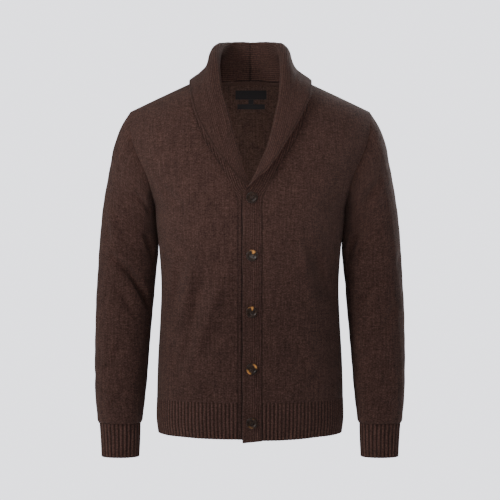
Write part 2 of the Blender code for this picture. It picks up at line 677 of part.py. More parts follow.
def button(name, z, lift):
    """A turned disc with a raised rim, lying against the top band."""
    angle = angle_at(np.array([BUTTON_X]), np.array([z - UNDERARM_Z]))
    point = torso(-1, 1, angle, np.array([z - UNDERARM_Z]))
    radius, thick = BUTTON_RADIUS, BUTTON_THICK
    # distance from the middle, height above the cloth
    profile = (
        (0.0, 0.62 * thick),
        (0.50 * radius, 0.62 * thick),
        (0.68 * radius, 0.94 * thick),
        (0.86 * radius, thick),
        (radius, 0.62 * thick),
        (0.97 * radius, 0.22 * thick),
        (0.80 * radius, 0.0),
        (0.0, 0.0),
    )
    points = [(0.0, 0.0, profile[0][1])]
    for out, up in profile[1:-1]:
        for k in range(BUTTON_SIDES):
            a = k * 2 * math.pi / BUTTON_SIDES
            points.append((out * math.cos(a), out * math.sin(a), up))
    points.append((0.0, 0.0, 0.0))
    faces = []
    last = len(points) - 1
    rings = len(profile) - 2
    for k in range(BUTTON_SIDES):
        n = (k + 1) % BUTTON_SIDES
        faces.append((0, 1 + k, 1 + n))
        for r in range(rings - 1):
            a = 1 + r * BUTTON_SIDES
            b = a + BUTTON_SIDES
            faces.append((a + k, b + k, b + n, a + n))
        a = 1 + (rings - 1) * BUTTON_SIDES
        faces.append((last, a + n, a + k))
    made = add_mesh(name, points, faces, HORN_COLOR, roughness=0.35)
    made.rotation_euler = (math.pi / 2, 0, 0)
    made.location = (BUTTON_X, float(point[0, 1]) - SEAM_GAP - lift, z)


def label(name, low_x, high_x, low_z, high_z):
    """A woven label just inside the back."""
    across, height = np.meshgrid(np.linspace(low_x, high_x, 7), np.linspace(low_z, high_z, 3))
    rise = rise_at(1, across, height)
    points, normals = torso_patch(1, 1, angle_at(across, rise), rise)
    mirror = np.stack([np.where(across < 0, -1.0, 1.0), np.ones_like(across), np.ones_like(across)], axis=-1)
    points, normals = points * mirror, normals * mirror
    wall(name, points - normals * (PLAIN_WALL + LABEL_GAP), normals, TRIM_WALL, LABEL_COLOR)


def neck_tape():
    """A strip over the back neck seam, on the inside, made from the top rows of the back."""
    points, normals = both_halves(half_body(1))
    middle = PANEL_COLUMNS - 1
    span = slice(middle - NECK_COLUMNS + 2, middle + NECK_COLUMNS - 1)
    rows, turned = [], []
    for drop in (0.0010, 0.0080):
        step = points[-2, span] - points[-1, span]
        share = drop / np.linalg.norm(step, axis=-1, keepdims=True)
        rows.append(points[-1, span] + step * share)
        turned.append(normals[-1, span] * (1 - share) + normals[-2, span] * share)
    turned = np.array(turned)
    turned /= np.linalg.norm(turned, axis=-1, keepdims=True)
    wall("neck_tape", np.array(rows) - turned * (PLAIN_WALL + TAPE_GAP), turned, TRIM_WALL, RIB_COLOR)


def main():
    for made in list(bpy.data.objects):
        bpy.data.objects.remove(made)
    front_panel("front_left", 1, 0.0)
    front_panel("front_right", -1, LAP)
    back_panel()
    hem_ribs()
    sleeve("left", 1)
    sleeve("right", -1)
    collar("band_collar_left", 1, LEFT_COLLAR, TOP_BAND_EDGE_X, 0.0)
    collar("band_collar_right", -1, RIGHT_COLLAR, UNDER_BAND_EDGE_X, LAP)
    neck_tape()
    for row in LABELS:
        label(*row)
    for number, (z, lift) in enumerate(BUTTONS, 1):
        button(f"button_{number}", z, lift)


main()
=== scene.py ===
import math

import bpy
import mathutils
import numpy as np
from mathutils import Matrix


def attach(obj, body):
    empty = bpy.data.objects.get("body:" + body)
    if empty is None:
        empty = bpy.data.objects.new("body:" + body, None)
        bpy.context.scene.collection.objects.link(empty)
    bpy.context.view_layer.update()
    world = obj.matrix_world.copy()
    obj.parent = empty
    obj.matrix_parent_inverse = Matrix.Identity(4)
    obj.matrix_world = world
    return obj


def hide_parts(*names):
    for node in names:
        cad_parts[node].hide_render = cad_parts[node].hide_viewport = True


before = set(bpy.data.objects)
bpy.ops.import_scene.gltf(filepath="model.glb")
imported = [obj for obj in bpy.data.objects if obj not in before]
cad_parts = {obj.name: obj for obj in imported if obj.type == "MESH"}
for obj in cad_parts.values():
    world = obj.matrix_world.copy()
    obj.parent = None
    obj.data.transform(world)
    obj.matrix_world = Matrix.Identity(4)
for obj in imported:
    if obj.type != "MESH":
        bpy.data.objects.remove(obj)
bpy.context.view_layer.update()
print("frame loaded")

# the body's form, shared by the panels, bands, collar and sleeves
form = {
    "hem": -0.677,
    "ribTop": -0.612,
    "underarm": -0.255,
    "bandFoot": -0.683,
    "bandSeam": 0.0228,
    "shoulderAcross": 0.228,
    "shoulderHeight": -0.0718,
    "shoulderSlope": 0.4726,
    "neckRound": 0.03,
    "shoulderSpread": 0.0655,
    "spreadPower": 3.5,
    "ridgeBack": 0.008,
    "squareness": 2.4,
    "frontRound": 2.4,
    "backRound": 3.0,
    "lap": 0.0034,
    "lapFade": 0.085,
    "plainWall": 0.0018,
    "ribWall": 0.00192,
    "collarWall": 0.0022,
    "seamGap": 0.0003,
    "sleeveGap": -0.0005,
}

# height, half width, front depth, back depth
bodyLevels = np.array([
    (-0.690, 0.1715, 0.1165, 0.1080),
    (-0.677, 0.1735, 0.1180, 0.1095),
    (-0.655, 0.1765, 0.1205, 0.1120),
    (-0.612, 0.1762, 0.1225, 0.1135),
    (-0.540, 0.1742, 0.1230, 0.1135),
    (-0.470, 0.1702, 0.1225, 0.1115),
    (-0.400, 0.1680, 0.1225, 0.1110),
    (-0.334, 0.1720, 0.1255, 0.1135),
    (-0.290, 0.1768, 0.1275, 0.1165),
    (-0.255, 0.1795, 0.1285, 0.1195),
    (-0.235, 0.1795, 0.1285, 0.1200),
])

# across, height
armholeLine = np.array([
    (0.2280, -0.0718),
    (0.2262, -0.1000),
    (0.2195, -0.1330),
    (0.2078, -0.1630),
    (0.1955, -0.1890),
    (0.1875, -0.2120),
    (0.1828, -0.2350),
    (0.1795, -0.2550),
])
frontNeckLine = np.array([
    (form["bandSeam"], form["underarm"]),
    (0.0238, -0.2420),
    (0.0297, -0.2255),
    (0.0470, -0.1927),
    (0.0602, -0.1708),
    (0.0757, -0.1475),
    (0.0900, -0.1200),
    (0.0990, -0.0965),
    (0.1075, -0.0620),
    (0.1110, -0.0175),
])
# across, how far up from the underarm to the shoulder line
backNeckLine = np.array([
    (0.1110, 1.000),
    (0.1065, 0.930),
    (0.0920, 0.860),
    (0.0620, 0.760),
    (0.0310, 0.690),
    (0.0000, 0.660),
])

# Folds, each a soft trough with low ridges beside it, along a slightly bowed line.
# from across, from height, to across, to height, half width, depth (minus for a ridge)
frontFolds = (
    (-0.120, -0.330, -0.145, -0.450, 0.018, 0.0047),
    (-0.060, -0.430, -0.105, -0.560, 0.020, 0.0040),
    (0.112, -0.330, 0.150, -0.440, 0.018, 0.0047),
    (0.060, -0.480, 0.110, -0.590, 0.020, 0.0034),
    (-0.168, -0.215, -0.120, -0.262, 0.010, 0.0047),
    (0.170, -0.205, 0.118, -0.270, 0.011, 0.0056),
    (0.160, -0.255, 0.128, -0.345, 0.012, 0.0040),
    (-0.038, -0.350, -0.082, -0.470, 0.016, -0.0028),
    (-0.100, -0.560, -0.060, -0.612, 0.014, 0.0025),
    (0.140, -0.520, 0.100, -0.600, 0.013, 0.0028),
    (-0.155, -0.480, -0.130, -0.590, 0.012, 0.0031),
    (0.085, -0.360, 0.120, -0.470, 0.015, -0.0022),
    (-0.1126, -0.3515, -0.1270, -0.4540, 0.0130, -0.0050),
    (-0.1310, -0.3570, -0.1490, -0.4640, 0.0120, 0.0068),
    (-0.0545, -0.3760, -0.0990, -0.5290, 0.0170, -0.0082),
    (-0.0850, -0.3650, -0.1220, -0.5000, 0.0150, 0.0072),
    (-0.1020, -0.4860, -0.1470, -0.5660, 0.0140, 0.0062),
    (0.1020, -0.3140, 0.1430, -0.4290, 0.0160, 0.0098),
    (0.0800, -0.3100, 0.1150, -0.4150, 0.0130, -0.0040),
    (0.1450, -0.4000, 0.1635, -0.4710, 0.0100, 0.0062),
    (0.0500, -0.3000, 0.0900, -0.4200, 0.0150, -0.0024),
)
backFolds = (
    (-0.130, -0.300, -0.070, -0.420, 0.022, 0.0042),
    (0.135, -0.310, 0.080, -0.430, 0.022, 0.0042),
    (-0.110, -0.460, -0.040, -0.560, 0.024, 0.0036),
    (0.100, -0.470, 0.045, -0.550, 0.022, 0.0034),
    (-0.175, -0.200, -0.110, -0.285, 0.012, 0.0048),
    (0.172, -0.210, 0.105, -0.280, 0.013, 0.0045),
    (-0.020, -0.420, 0.030, -0.500, 0.018, -0.0022),
    (0.060, -0.560, 0.115, -0.606, 0.014, 0.0028),
    (-0.140, -0.560, -0.085, -0.604, 0.013, 0.0025),
    (0.010, -0.130, 0.075, -0.170, 0.020, 0.0017),
)


def through(at, knots, values):
    # value of a smooth curve through a table's column
    slopes = np.gradient(values, knots)
    at = np.clip(at, knots[0], knots[-1])
    low = np.clip(np.searchsorted(knots, at) - 1, 0, len(knots) - 2)
    span = knots[low + 1] - knots[low]
    s = (at - knots[low]) / span
    first = (1 + 2 * s) * (1 - s) ** 2 * values[low] + s * (1 - s) ** 2 * span * slopes[low]
    return first + s * s * (3 - 2 * s) * values[low + 1] + s * s * (s - 1) * span * slopes[low + 1]


def smoothRows(rows, count):
    # a table's rows, smoothed and spaced evenly along the line of their first columns
    rows = np.asarray(rows, float)
    steps = np.linalg.norm(np.diff(rows[:, : min(6, rows.shape[1])], axis=0), axis=1)
    along = np.concatenate([[0], np.cumsum(np.maximum(steps, 1e-6))])
    at = np.linspace(0, along[-1], count)
    return np.column_stack([through(at, along, column) for column in rows.T])


def ease(t):
    t = np.clip(t, 0, 1)
    return t * t * (3 - 2 * t)


def closeTo(distance, reach):
    # 1 on a line, fading softly to 0 beside it
    return np.exp(-((distance / reach) ** 2))


def sampled(at, along, rows):
    # a table's rows at given lengths along it
    return np.column_stack([np.interp(at, along, column) for column in rows.T])


def unit(v):
    return v / (np.linalg.norm(v, axis=-1, keepdims=True) + 1e-12)


def runLengths(points, axis=0):
    steps = np.linalg.norm(np.diff(points, axis=axis), axis=-1)
    zero = np.zeros_like(np.take(steps, [0], axis=axis))
    return np.concatenate([zero, np.cumsum(steps, axis=axis)], axis=axis)


def shoulderLine(x):
    reach = math.hypot(form["shoulderAcross"], form["neckRound"])
    return form["shoulderHeight"] + (reach - np.hypot(x, form["neckRound"])) * form["shoulderSlope"]


def halfWidth(rise):
    low = through(form["underarm"] + np.minimum(rise, 0), bodyLevels[:, 0], bodyLevels[:, 1])
    return low + form["shoulderSpread"] * (1 - (1 - np.clip(rise, 0, 1)) ** form["spreadPower"])


def riseAt(facing, x, z):
    # metres below the underarm, or 0 to 1 above it
    power = (form["frontRound"] if facing < 0 else form["backRound"]) / 2
    share = np.clip((z - form["underarm"]) / (shoulderLine(x) - form["underarm"]), 0, 1)
    return np.where(z < form["underarm"], z - form["underarm"], 1 - np.arccos(share**power) / (math.pi / 2))


def angleAt(x, rise):
    return np.arcsin(np.clip(np.abs(x) / halfWidth(rise), 0, 1) ** (form["squareness"] / 2))


def foldDepth(folds, x, z):
    depth = np.zeros(np.broadcast(x, z).shape)
    for x0, z0, x1, z1, width, deep in folds:
        run = np.array([x1 - x0, z1 - z0])
        length = np.linalg.norm(run)
        run = run / length
        along = ((x - x0) * run[0] + (z - z0) * run[1]) / length
        off = ((x - x0) * run[1] - (z - z0) * run[0]) / width
        bend = off + 0.35 * np.sin(math.pi * np.clip(along, 0, 1))
        ends = np.sin(math.pi * np.clip(along, 0, 1)) ** 0.8
        depth = depth + deep * ends * (1 - 0.7 * bend**2) * np.exp(-(bend**2))
    return depth


def softWaves(x, z, seed):
    # the slight unevenness of hand-pressed knitwear
    waves = np.sin(31 * x + 17 * z + seed) * np.sin(23 * z - 11 * x + 2 * seed)
    waves = waves + 0.6 * np.sin(57 * x - 29 * z + 3 * seed) * np.sin(47 * z + 13 * x + seed)
    waves = waves + 0.9 * np.sin(131 * x + 61 * z + seed) * np.sin(97 * z - 83 * x + 2 * seed)
    return 0.00042 * waves


def bodyPoints(facing, side, angle, rise, lap=None):
    # angle is 0 in the middle and 90 degrees at the side seam; the right front lies under, by the lap
    if lap is None:
        lap = form["lap"] if facing < 0 and side < 0 else 0.0
    up = np.clip(rise, 0, 1)
    down = np.minimum(rise, 0)
    rounded = form["frontRound"] if facing < 0 else form["backRound"]
    across = halfWidth(rise) * np.sin(angle) ** (2 / form["squareness"])
    deep = through(form["underarm"] + down, bodyLevels[:, 0], bodyLevels[:, 2 if facing < 0 else 3])
    turn = (1 - up) * math.pi / 2
    climb = np.abs(np.cos(turn)) ** (2 / rounded)
    z = form["underarm"] + down + (shoulderLine(across) - form["underarm"]) * climb
    folds = foldDepth(frontFolds if facing < 0 else backFolds, side * across, z)
    sink = folds + softWaves(side * across, z, 1.3 if facing < 0 else 4.1)
    out = deep - sink - lap * (1 - ease((across - 0.03) / form["lapFade"]))
    y = facing * out * np.abs(np.cos(angle)) ** (2 / form["squareness"]) * np.sin(turn) ** (2 / rounded)
    return np.stack([side * across, y + form["ridgeBack"] * up**2, z], axis=-1)


def bodyPatch(facing, side, angle, rise, lap=None):
    # points and outward normals
    points = bodyPoints(facing, side, angle, rise, lap)
    a = np.clip(angle, 1e-3, math.pi / 2 - 1e-3)
    r = np.minimum(rise, 1 - 2e-3)
    step = 1e-3
    across = bodyPoints(facing, side, a + step, r, lap) - bodyPoints(facing, side, a - step, r, lap)
    along = bodyPoints(facing, side, a, r + step, lap) - bodyPoints(facing, side, a, r - step, lap)
    normal = unit(np.cross(across, along))
    outward = points - np.array([0.0, 0.0, -0.30])
    outward[..., 2] = np.where(rise > 0.5, 0.1, 0.0)
    flip = np.sign(np.sum(normal * outward, axis=-1, keepdims=True))
    return points, normal * np.where(flip == 0, 1, flip)


def onBody(facing, side, across, height):
    rise = riseAt(facing, across, height)
    return bodyPatch(facing, side, angleAt(across, rise), rise)


def borderLine(facing, line, shares, givenRise=False):
    # a line across the body as angle and rise, at given shares of its length
    rows = smoothRows(line, 600)
    rise = rows[:, 1] if givenRise else riseAt(facing, rows[:, 0], rows[:, 1])
    angle = angleAt(rows[:, 0], rise)
    along = runLengths(bodyPoints(facing, 1, angle, rise))
    return sampled(shares * along[-1], along, np.column_stack([angle, rise]))


def seamSteps(count, length, fine=(0.0009, 0.0022, 0.0042)):
    # shares of a length, closer together at both ends so that the seams can roll in
    ends = np.array((0.0,) + fine) / length
    middle = np.linspace(ends[-1], 1 - ends[-1], count - 2 * len(ends) + 2)
    return np.concatenate([ends[:-1], middle, 1 - ends[:-1][::-1]])


def coonsPatch(bottom, top, left, right, s, t):
    s = s[None, :, None]
    t = t[:, None, None]
    ruled = (1 - t) * bottom[None] + t * top[None] + (1 - s) * left[:, None] + s * right[:, None]
    lowCorners = (1 - s) * (1 - t) * bottom[0] + s * (1 - t) * bottom[-1]
    return ruled - (lowCorners + (1 - s) * t * top[0] + s * t * top[-1])


# lengths over the body, for the knit's columns and rows
def lengthTables(facing):
    rises = np.concatenate([np.linspace(-0.44, 0, 45), np.linspace(0, 1, 60)[1:]])
    angles = np.linspace(0, math.pi / 2, 90)
    grid = bodyPoints(facing, 1, angles[None, :] + 0 * rises[:, None], rises[:, None] + 0 * angles[None, :])
    return rises, angles, runLengths(grid, axis=1), runLengths(grid, axis=0)


lengths = {facing: lengthTables(facing) for facing in (-1, 1)}


def clothLengths(facing, angle, rise):
    # how far across and how far up a point lies, measured over the cloth
    rises, angles, across, up = lengths[facing]
    i = np.clip(np.searchsorted(rises, rise) - 1, 0, len(rises) - 2)
    j = np.clip(np.searchsorted(angles, angle) - 1, 0, len(angles) - 2)
    s = np.clip((rise - rises[i]) / (rises[i + 1] - rises[i]), 0, 1)
    t = np.clip((angle - angles[j]) / (angles[j + 1] - angles[j]), 0, 1)
    found = []
    for table in (across, up):
        low = table[i, j] * (1 - t) + table[i, j + 1] * t
        high = table[i + 1, j] * (1 - t) + table[i + 1, j + 1] * t
        found.append(low * (1 - s) + high * s)
    return np.stack(found, axis=-1)


def linked(name, data):
    made = bpy.data.objects.new(name, data)
    bpy.context.scene.collection.objects.link(made)
    return made


def newObject(name, points, faces, finish, loopUv=None):
    mesh = bpy.data.meshes.new(name)
    mesh.from_pydata(points.tolist(), [], faces)
    if loopUv is not None:
        layer = mesh.uv_layers.new(name="cloth")
        layer.uv.foreach_set("vector", np.ascontiguousarray(loopUv, np.float32).ravel())
    mesh.validate()
    mesh.materials.append(finish)
    mesh.shade_smooth()
    mesh.set_sharp_from_angle(angle=math.radians(70))
    return linked(name, mesh)


def shell(name, outer, inner, uv, finish, rounding=(0, 0, 0, 0), keep=None, wrapUv=None, ridges=None, paintedShadeLines=0,
          lining=None):
    # A thin closed shell from two grids. rounding is how far the rim bulges: left, right, low and high edge.
    # keep gives the first and last column used in each row. A grid with wrapUv is a tube.
    # ridges is 1 where a rib stands out of the outer face, -1 where it lies deep; reversed on the inner; the
    # finish paints light on the rib tops and shade in the grooves from it.
    # The shade argument after ridges is painted shade along seams and creases on both faces. lining is
    # another finish for the inner face.
    rows, columns = outer.shape[:2]
    count = rows * columns
    closed = wrapUv is not None
    first = np.zeros(rows, int) if keep is None else keep[0]
    last = np.full(rows, columns - 1) if keep is None else keep[1]
    rowStart = np.arange(rows)[:, None] * columns
    index = np.clip(np.arange(columns) + rowStart, first[:, None] + rowStart, last[:, None] + rowStart)
    faces = []
    corners = []

    def add(face, where):
        slim = [k for k in range(len(face)) if face[k] != face[k - 1]]
        if len(slim) > 2:
            faces.append([face[k] for k in slim])
            corners.extend(where[k] for k in slim)

    spans = columns if closed else columns - 1
    listed = index.tolist()
    uvs = uv.reshape(-1, 2).tolist()
    for i in range(rows - 1):
        here, above = listed[i], listed[i + 1]
        for j in range(spans):
            n = (j + 1) % columns
            quad = [here[j], here[n], above[n], above[j]]
            spots = [uvs[k] for k in quad]
            if closed and n == 0:
                spots[1] = [spots[1][0] + wrapUv[i], spots[1][1]]
                spots[2] = [spots[2][0] + wrapUv[i + 1], spots[2][1]]
            add(quad, spots)
            add([k + count for k in quad[::-1]], spots[::-1])
    points = [outer.reshape(-1, 3), inner.reshape(-1, 3)]
    middle = (outer + inner) / 2
    rim = []

    def rimLoop(path, bulges):
        # path lists (row, column) round the edge, with the way out of the cloth at each
        start = 2 * count + sum(len(r) for r in rim)
        rim.append(np.array([middle[p] + unit(b) * amount for p, (b, amount) in zip(path, bulges)]))
        total = len(path)
        for k in range(total):
            n = (k + 1) % total
            a = listed[path[k][0]][path[k][1]]
            b = listed[path[n][0]][path[n][1]]
            add([b, a, start + k, start + n], [uvs[b], uvs[a], uvs[a], uvs[b]])
            add([start + n, start + k, a + count, b + count], [uvs[b], uvs[a], uvs[a], uvs[b]])

    left, right, low, high = rounding
    if closed:
        for row, inward, amount, order in ((0, 1, low, 1), (rows - 1, rows - 2, high, -1)):
            path = [(row, j) for j in range(columns)][::order]
            rimLoop(path, [(middle[p] - middle[inward, p[1]], amount) for p in path])
    else:
        path, bulges = [], []

        def walk(i, j, di, dj, amount):
            path.append((i, j))
            bulges.append((middle[i, j] - middle[i + di, j + dj], amount))

        for j in range(first[0], last[0]):
            walk(0, j, 1, 0, low)
        for i in range(rows - 1):
            walk(i, last[i], 0, -1, right)
        for j in range(last[-1], first[-1], -1):
            walk(rows - 1, j, -1, 0, high)
        for i in range(rows - 1, 0, -1):
            walk(i, first[i], 0, 1, left)
        rimLoop(path, bulges)
    points = np.concatenate(points + rim)
    used = np.unique(np.concatenate([np.array(f) for f in faces]))
    place = np.full(len(points), -1)
    place[used] = np.arange(len(used))
    points = points[used]
    faces = [[int(place[k]) for k in f] for f in faces]
    loopUv = np.array(corners)
    if faceVolume(points, faces) < 0:
        ends = np.cumsum([len(f) for f in faces])
        loopUv = np.concatenate([part[::-1] for part in np.split(loopUv, ends[:-1])])
        faces = [f[::-1] for f in faces]
    made = newObject(name, points, faces, finish, loopUv)
    if ridges is not None:
        flat = np.broadcast_to(ridges, outer.shape[:2]).ravel()
        deep = np.broadcast_to(paintedShadeLines, outer.shape[:2]).ravel()
        values = np.concatenate([flat - deep, -flat - deep, np.zeros(len(place) - 2 * count)])[used]
        pointValues(made.data, "ridge", values)
    if lining:
        made.data.materials.append(lining)
        which = np.zeros(len(faces), np.int32)
        which[1 : 2 * (rows - 1) * spans : 2] = 1
        made.data.polygons.foreach_set("material_index", which)
    return made


def pointValues(mesh, name, values):
    layer = mesh.attributes.new(name, "FLOAT", "POINT")
    layer.data.foreach_set("value", values.astype(np.float32))


def faceVolume(points, faces):
    triangles = np.array([(f[0], f[k], f[k + 1]) for f in faces for k in range(1, len(f) - 1)])
    a, b, c = (points[triangles[:, k]] for k in range(3))
    return float(np.sum(a * np.cross(b, c)))


def edgeSink(points, depths, reach=0.0016):
    # how far a shell rolls in at its sewn edges: depths are for the left, right, low and high one
    across = runLengths(points, axis=1)
    along = runLengths(points, axis=0)
    ways = (across, across[:, -1:] - across, along, along[-1:] - along)
    sink = np.zeros(points.shape[:2])
    for deep, way in zip(depths, ways):
        sink = np.maximum(sink, deep * closeTo(way, reach))
    return sink


def cutSize(points, wraps=False):
    # width, length and area of the flat cut that a grid of cloth was made from
    wide = runLengths(points, axis=1)[:, -1]
    if wraps:
        wide = wide + np.linalg.norm(points[:, 0] - points[:, -1], axis=-1)
    tall = runLengths(points, axis=0)[-1]
    a = points[1:, 1:] - points[:-1, :-1]
    b = points[1:, :-1] - points[:-1, 1:]
    area = np.linalg.norm(np.cross(a, b), axis=-1).sum() / 2
    if wraps:
        area *= wide.mean() / (wide.mean() - np.linalg.norm(points[:, 0] - points[:, -1], axis=-1).mean())
    return float(wide.max()), float(tall.max()), float(area)


def finishCloth(made, nodes):
    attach(made, "root")
    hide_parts(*nodes)


def wire(tree, kind, inputs=None, **settings):
    node = tree.nodes.new(kind)
    for key, value in settings.items():
        setattr(node, key, value)
    for key, value in (inputs or {}).items():
        if isinstance(value, bpy.types.NodeSocket):
            tree.links.new(value, node.inputs[key])
        else:
            node.inputs[key].default_value = value
    return node


def calc(tree, how, *values):
    node = wire(tree, "ShaderNodeMath", {k: v for k, v in enumerate(values)}, operation=how)
    return node.outputs[0]


def newFinish(name, values):
    # values are the shader's own, the same all over
    made = bpy.data.materials.new(name)
    made.use_nodes = True
    shader = made.node_tree.nodes["Principled BSDF"]
    for key, value in values.items():
        shader.inputs[key].default_value = value
    return made, made.node_tree, shader


def paint(tree, shader, color, height=None, strength=0.5, distance=0.0001):
    # color, and small relief where height is given
    tree.links.new(color, shader.inputs["Base Color"])
    if height is not None:
        bump = wire(tree, "ShaderNodeBump", {"Height": height, "Strength": strength, "Distance": distance})
        tree.links.new(bump.outputs[0], shader.inputs["Normal"])


def ripple(tree, value, length):
    return calc(tree, "SINE", calc(tree, "MULTIPLY", value, 2 * math.pi / length))


def shades(tree, amount, stops):
    ramp = wire(tree, "ShaderNodeValToRGB", {"Fac": amount})
    ramp.color_ramp.elements[0].position = stops[0][0]
    ramp.color_ramp.elements[0].color = (*stops[0][1], 1)
    ramp.color_ramp.elements[1].position = stops[-1][0]
    ramp.color_ramp.elements[1].color = (*stops[-1][1], 1)
    for place, color in stops[1:-1]:
        ramp.color_ramp.elements.new(place).color = (*color, 1)
    return ramp.outputs["Color"]


def clothSpace(tree):
    split = wire(tree, "ShaderNodeSeparateXYZ", {0: wire(tree, "ShaderNodeUVMap", uv_map="cloth").outputs[0]})
    return split.outputs[0], split.outputs[1]


def grain(tree, u, v, wide, tall, detail=2.0):
    sized = {0: calc(tree, "DIVIDE", u, wide), 1: calc(tree, "DIVIDE", v, tall)}
    place = wire(tree, "ShaderNodeCombineXYZ", sized)
    noise = wire(tree, "ShaderNodeTexNoise", {"Vector": place.outputs[0], "Scale": 1.0, "Detail": detail})
    return noise.outputs[0]


# wale is the width of one column of stitches and course the height of one row, in metres
# grooveShade is painted shade between the stitch loops; ribShade is painted shade in rib grooves and painted
# light on rib tops
plainLook = {
    "wale": 0.0019,
    "course": 0.0014,
    "stitchDepth": 0.00055,
    "dark": (0.0190, 0.0084, 0.0064),
    "mid": (0.0585, 0.0268, 0.0206),
    "light": (0.1150, 0.0570, 0.0450),
    "grooveShade": 0.42,
    "fleck": 1.30,
    "mottle": 0.17,
    "columns": 0.60,
    "ribShade": 0.0,
    "sheen": 0.05,
    "purl": False,
}
ribLook = dict(plainLook, stitchDepth=0.00045, grooveShade=0.55, mottle=0.10, ribShade=0.44, columns=0.4)
collarLook = dict(ribLook, wale=0.0020, ribShade=0.40)
# the inside of the body shows the backs of the stitches, as purl; its colours are painted paler than the
# outside, painted light standing in for the light that reaches the inside
insidePaintedLightLook = dict(
    plainLook,
    purl=True,
    dark=(0.034, 0.017, 0.0135),
    mid=(0.100, 0.053, 0.041),
    light=(0.17, 0.096, 0.076),
)


def knitFinish(name, look):
    sheen = {"Sheen Weight": look["sheen"], "Sheen Roughness": 0.45, "Sheen Tint": (0.75, 0.60, 0.52, 1)}
    made, tree, shader = newFinish(name, {"Roughness": 0.88, "Specular IOR Level": 0.18, **sheen})
    u, v = clothSpace(tree)
    # one column of stitches: two legs leaning out from its middle
    column = calc(tree, "FRACT", calc(tree, "DIVIDE", u, look["wale"]))
    off = calc(tree, "MULTIPLY", calc(tree, "ABSOLUTE", calc(tree, "SUBTRACT", column, 0.5)), 2.0)
    lean = calc(tree, "MULTIPLY_ADD", off, 0.85, calc(tree, "DIVIDE", v, look["course"]))
    loop = calc(tree, "ABSOLUTE", ripple(tree, lean, 2))
    legRound = calc(tree, "POWER", calc(tree, "MAXIMUM", ripple(tree, off, 2), 0.0), 0.6)
    stitch = calc(tree, "MULTIPLY", legRound, calc(tree, "MULTIPLY_ADD", loop, 0.5, 0.5))
    if look["purl"]:
        wave = ripple(tree, calc(tree, "DIVIDE", u, look["wale"]), 1)
        row = calc(tree, "MULTIPLY_ADD", wave, 0.22, calc(tree, "DIVIDE", v, look["course"]))
        stitch = calc(tree, "ABSOLUTE", ripple(tree, row, 2))
    # heather: fine flecks of lighter and darker wool, faint columns and short rows, under a slow drift
    # width, height, detail, strength
    grains = (
        (0.0032, 0.0024, 2.0, look["fleck"]),
        (0.0030, 0.0420, 2.0, look["columns"]),
        (0.0095, 0.0055, 3.0, look["mottle"] * 4),
        (0.0380, 0.0240, 2.0, look["mottle"] * 1.6),
    )
    tone = 0.5
    for wide, tall, detail, strength in grains:
        spread = calc(tree, "SUBTRACT", grain(tree, u, v, wide, tall, detail), 0.5)
        tone = calc(tree, "MULTIPLY_ADD", spread, strength, tone)
    color = shades(tree, tone, ((0.12, look["dark"]), (0.5, look["mid"]), (0.95, look["light"])))
    # painted shade: darker where the stitch loops dip, standing in for the shade between the stitches
    depthShade = calc(tree, "MULTIPLY_ADD", stitch, 1 - look["grooveShade"], look["grooveShade"])
    # painted light and shade from the ridge attribute: lighter on rib tops, darker in rib grooves and along
    # seams and creases
    if look["ribShade"]:
        ridge = wire(tree, "ShaderNodeAttribute", attribute_name="ridge").outputs["Fac"]
        lit = calc(tree, "MULTIPLY_ADD", ridge, look["ribShade"], 1 - look["ribShade"] * 0.35)
        depthShade = calc(tree, "MULTIPLY", depthShade, calc(tree, "MAXIMUM", lit, 0.2))
    shaded = wire(tree, "ShaderNodeVectorMath", {0: color}, operation="SCALE")
    tree.links.new(depthShade, shaded.inputs["Scale"])
    height = calc(tree, "MULTIPLY_ADD", grain(tree, u, v, 0.0011, 0.0007), 0.55, stitch)
    paint(tree, shader, shaded.outputs[0], height, 0.9, look["stitchDepth"])
    return made


def labelFinish():
    values = {"Roughness": 0.6, "Specular IOR Level": 0.16, "Sheen Weight": 0.02}
    made, tree, shader = newFinish("charcoal satin label", values)
    u, v = clothSpace(tree)
    crossing = calc(tree, "MULTIPLY", ripple(tree, u, 0.00045), ripple(tree, v, 0.00055))
    weave = calc(tree, "MULTIPLY_ADD", crossing, 0.5, 0.5)
    halfWeave = calc(tree, "MULTIPLY", weave, 0.5)
    tone = calc(tree, "MULTIPLY_ADD", grain(tree, u, v, 0.003, 0.0006), 0.5, halfWeave)
    color = shades(tree, tone, ((0.15, (0.0125, 0.0105, 0.0110)), (0.85, (0.0290, 0.0245, 0.0260))))
    paint(tree, shader, color, weave)
    return made


def tapeFinish():
    values = {"Roughness": 0.85, "Specular IOR Level": 0.2, "Sheen Weight": 0.04}
    made, tree, shader = newFinish("brown neck tape", values)
    u, v = clothSpace(tree)
    twill = calc(tree, "MULTIPLY_ADD", ripple(tree, calc(tree, "ADD", u, v), 0.0011), 0.5, 0.5)
    faintTwill = calc(tree, "MULTIPLY", twill, 0.4)
    tone = calc(tree, "MULTIPLY_ADD", grain(tree, u, v, 0.004, 0.001), 0.6, faintTwill)
    color = shades(tree, tone, ((0.2, (0.042, 0.0205, 0.0155)), (0.85, (0.092, 0.048, 0.038))))
    paint(tree, shader, color, twill, 0.6, 0.0002)
    return made


def threadFinish():
    values = {"Roughness": 0.8, "Specular IOR Level": 0.2, "Sheen Weight": 0.05}
    made, tree, shader = newFinish("dark brown thread", values)
    place = wire(tree, "ShaderNodeTexCoord").outputs["Object"]
    noise = wire(tree, "ShaderNodeTexNoise", {"Vector": place, "Scale": 2600.0, "Detail": 2.0}).outputs[0]
    color = shades(tree, noise, ((0.3, (0.020, 0.013, 0.011)), (0.7, (0.060, 0.040, 0.033))))
    paint(tree, shader, color, noise)
    return made


# near-black brown horn, clouded, with the amber streaks painted per button
hornLook = {
    "cloud": ((0.35, (0.007, 0.0038, 0.0026)), (0.62, (0.027, 0.0145, 0.0092)), (0.8, (0.060, 0.031, 0.017))),
    "amber": ((0.3, (0.30, 0.115, 0.026)), (0.7, (0.66, 0.31, 0.085))),
}


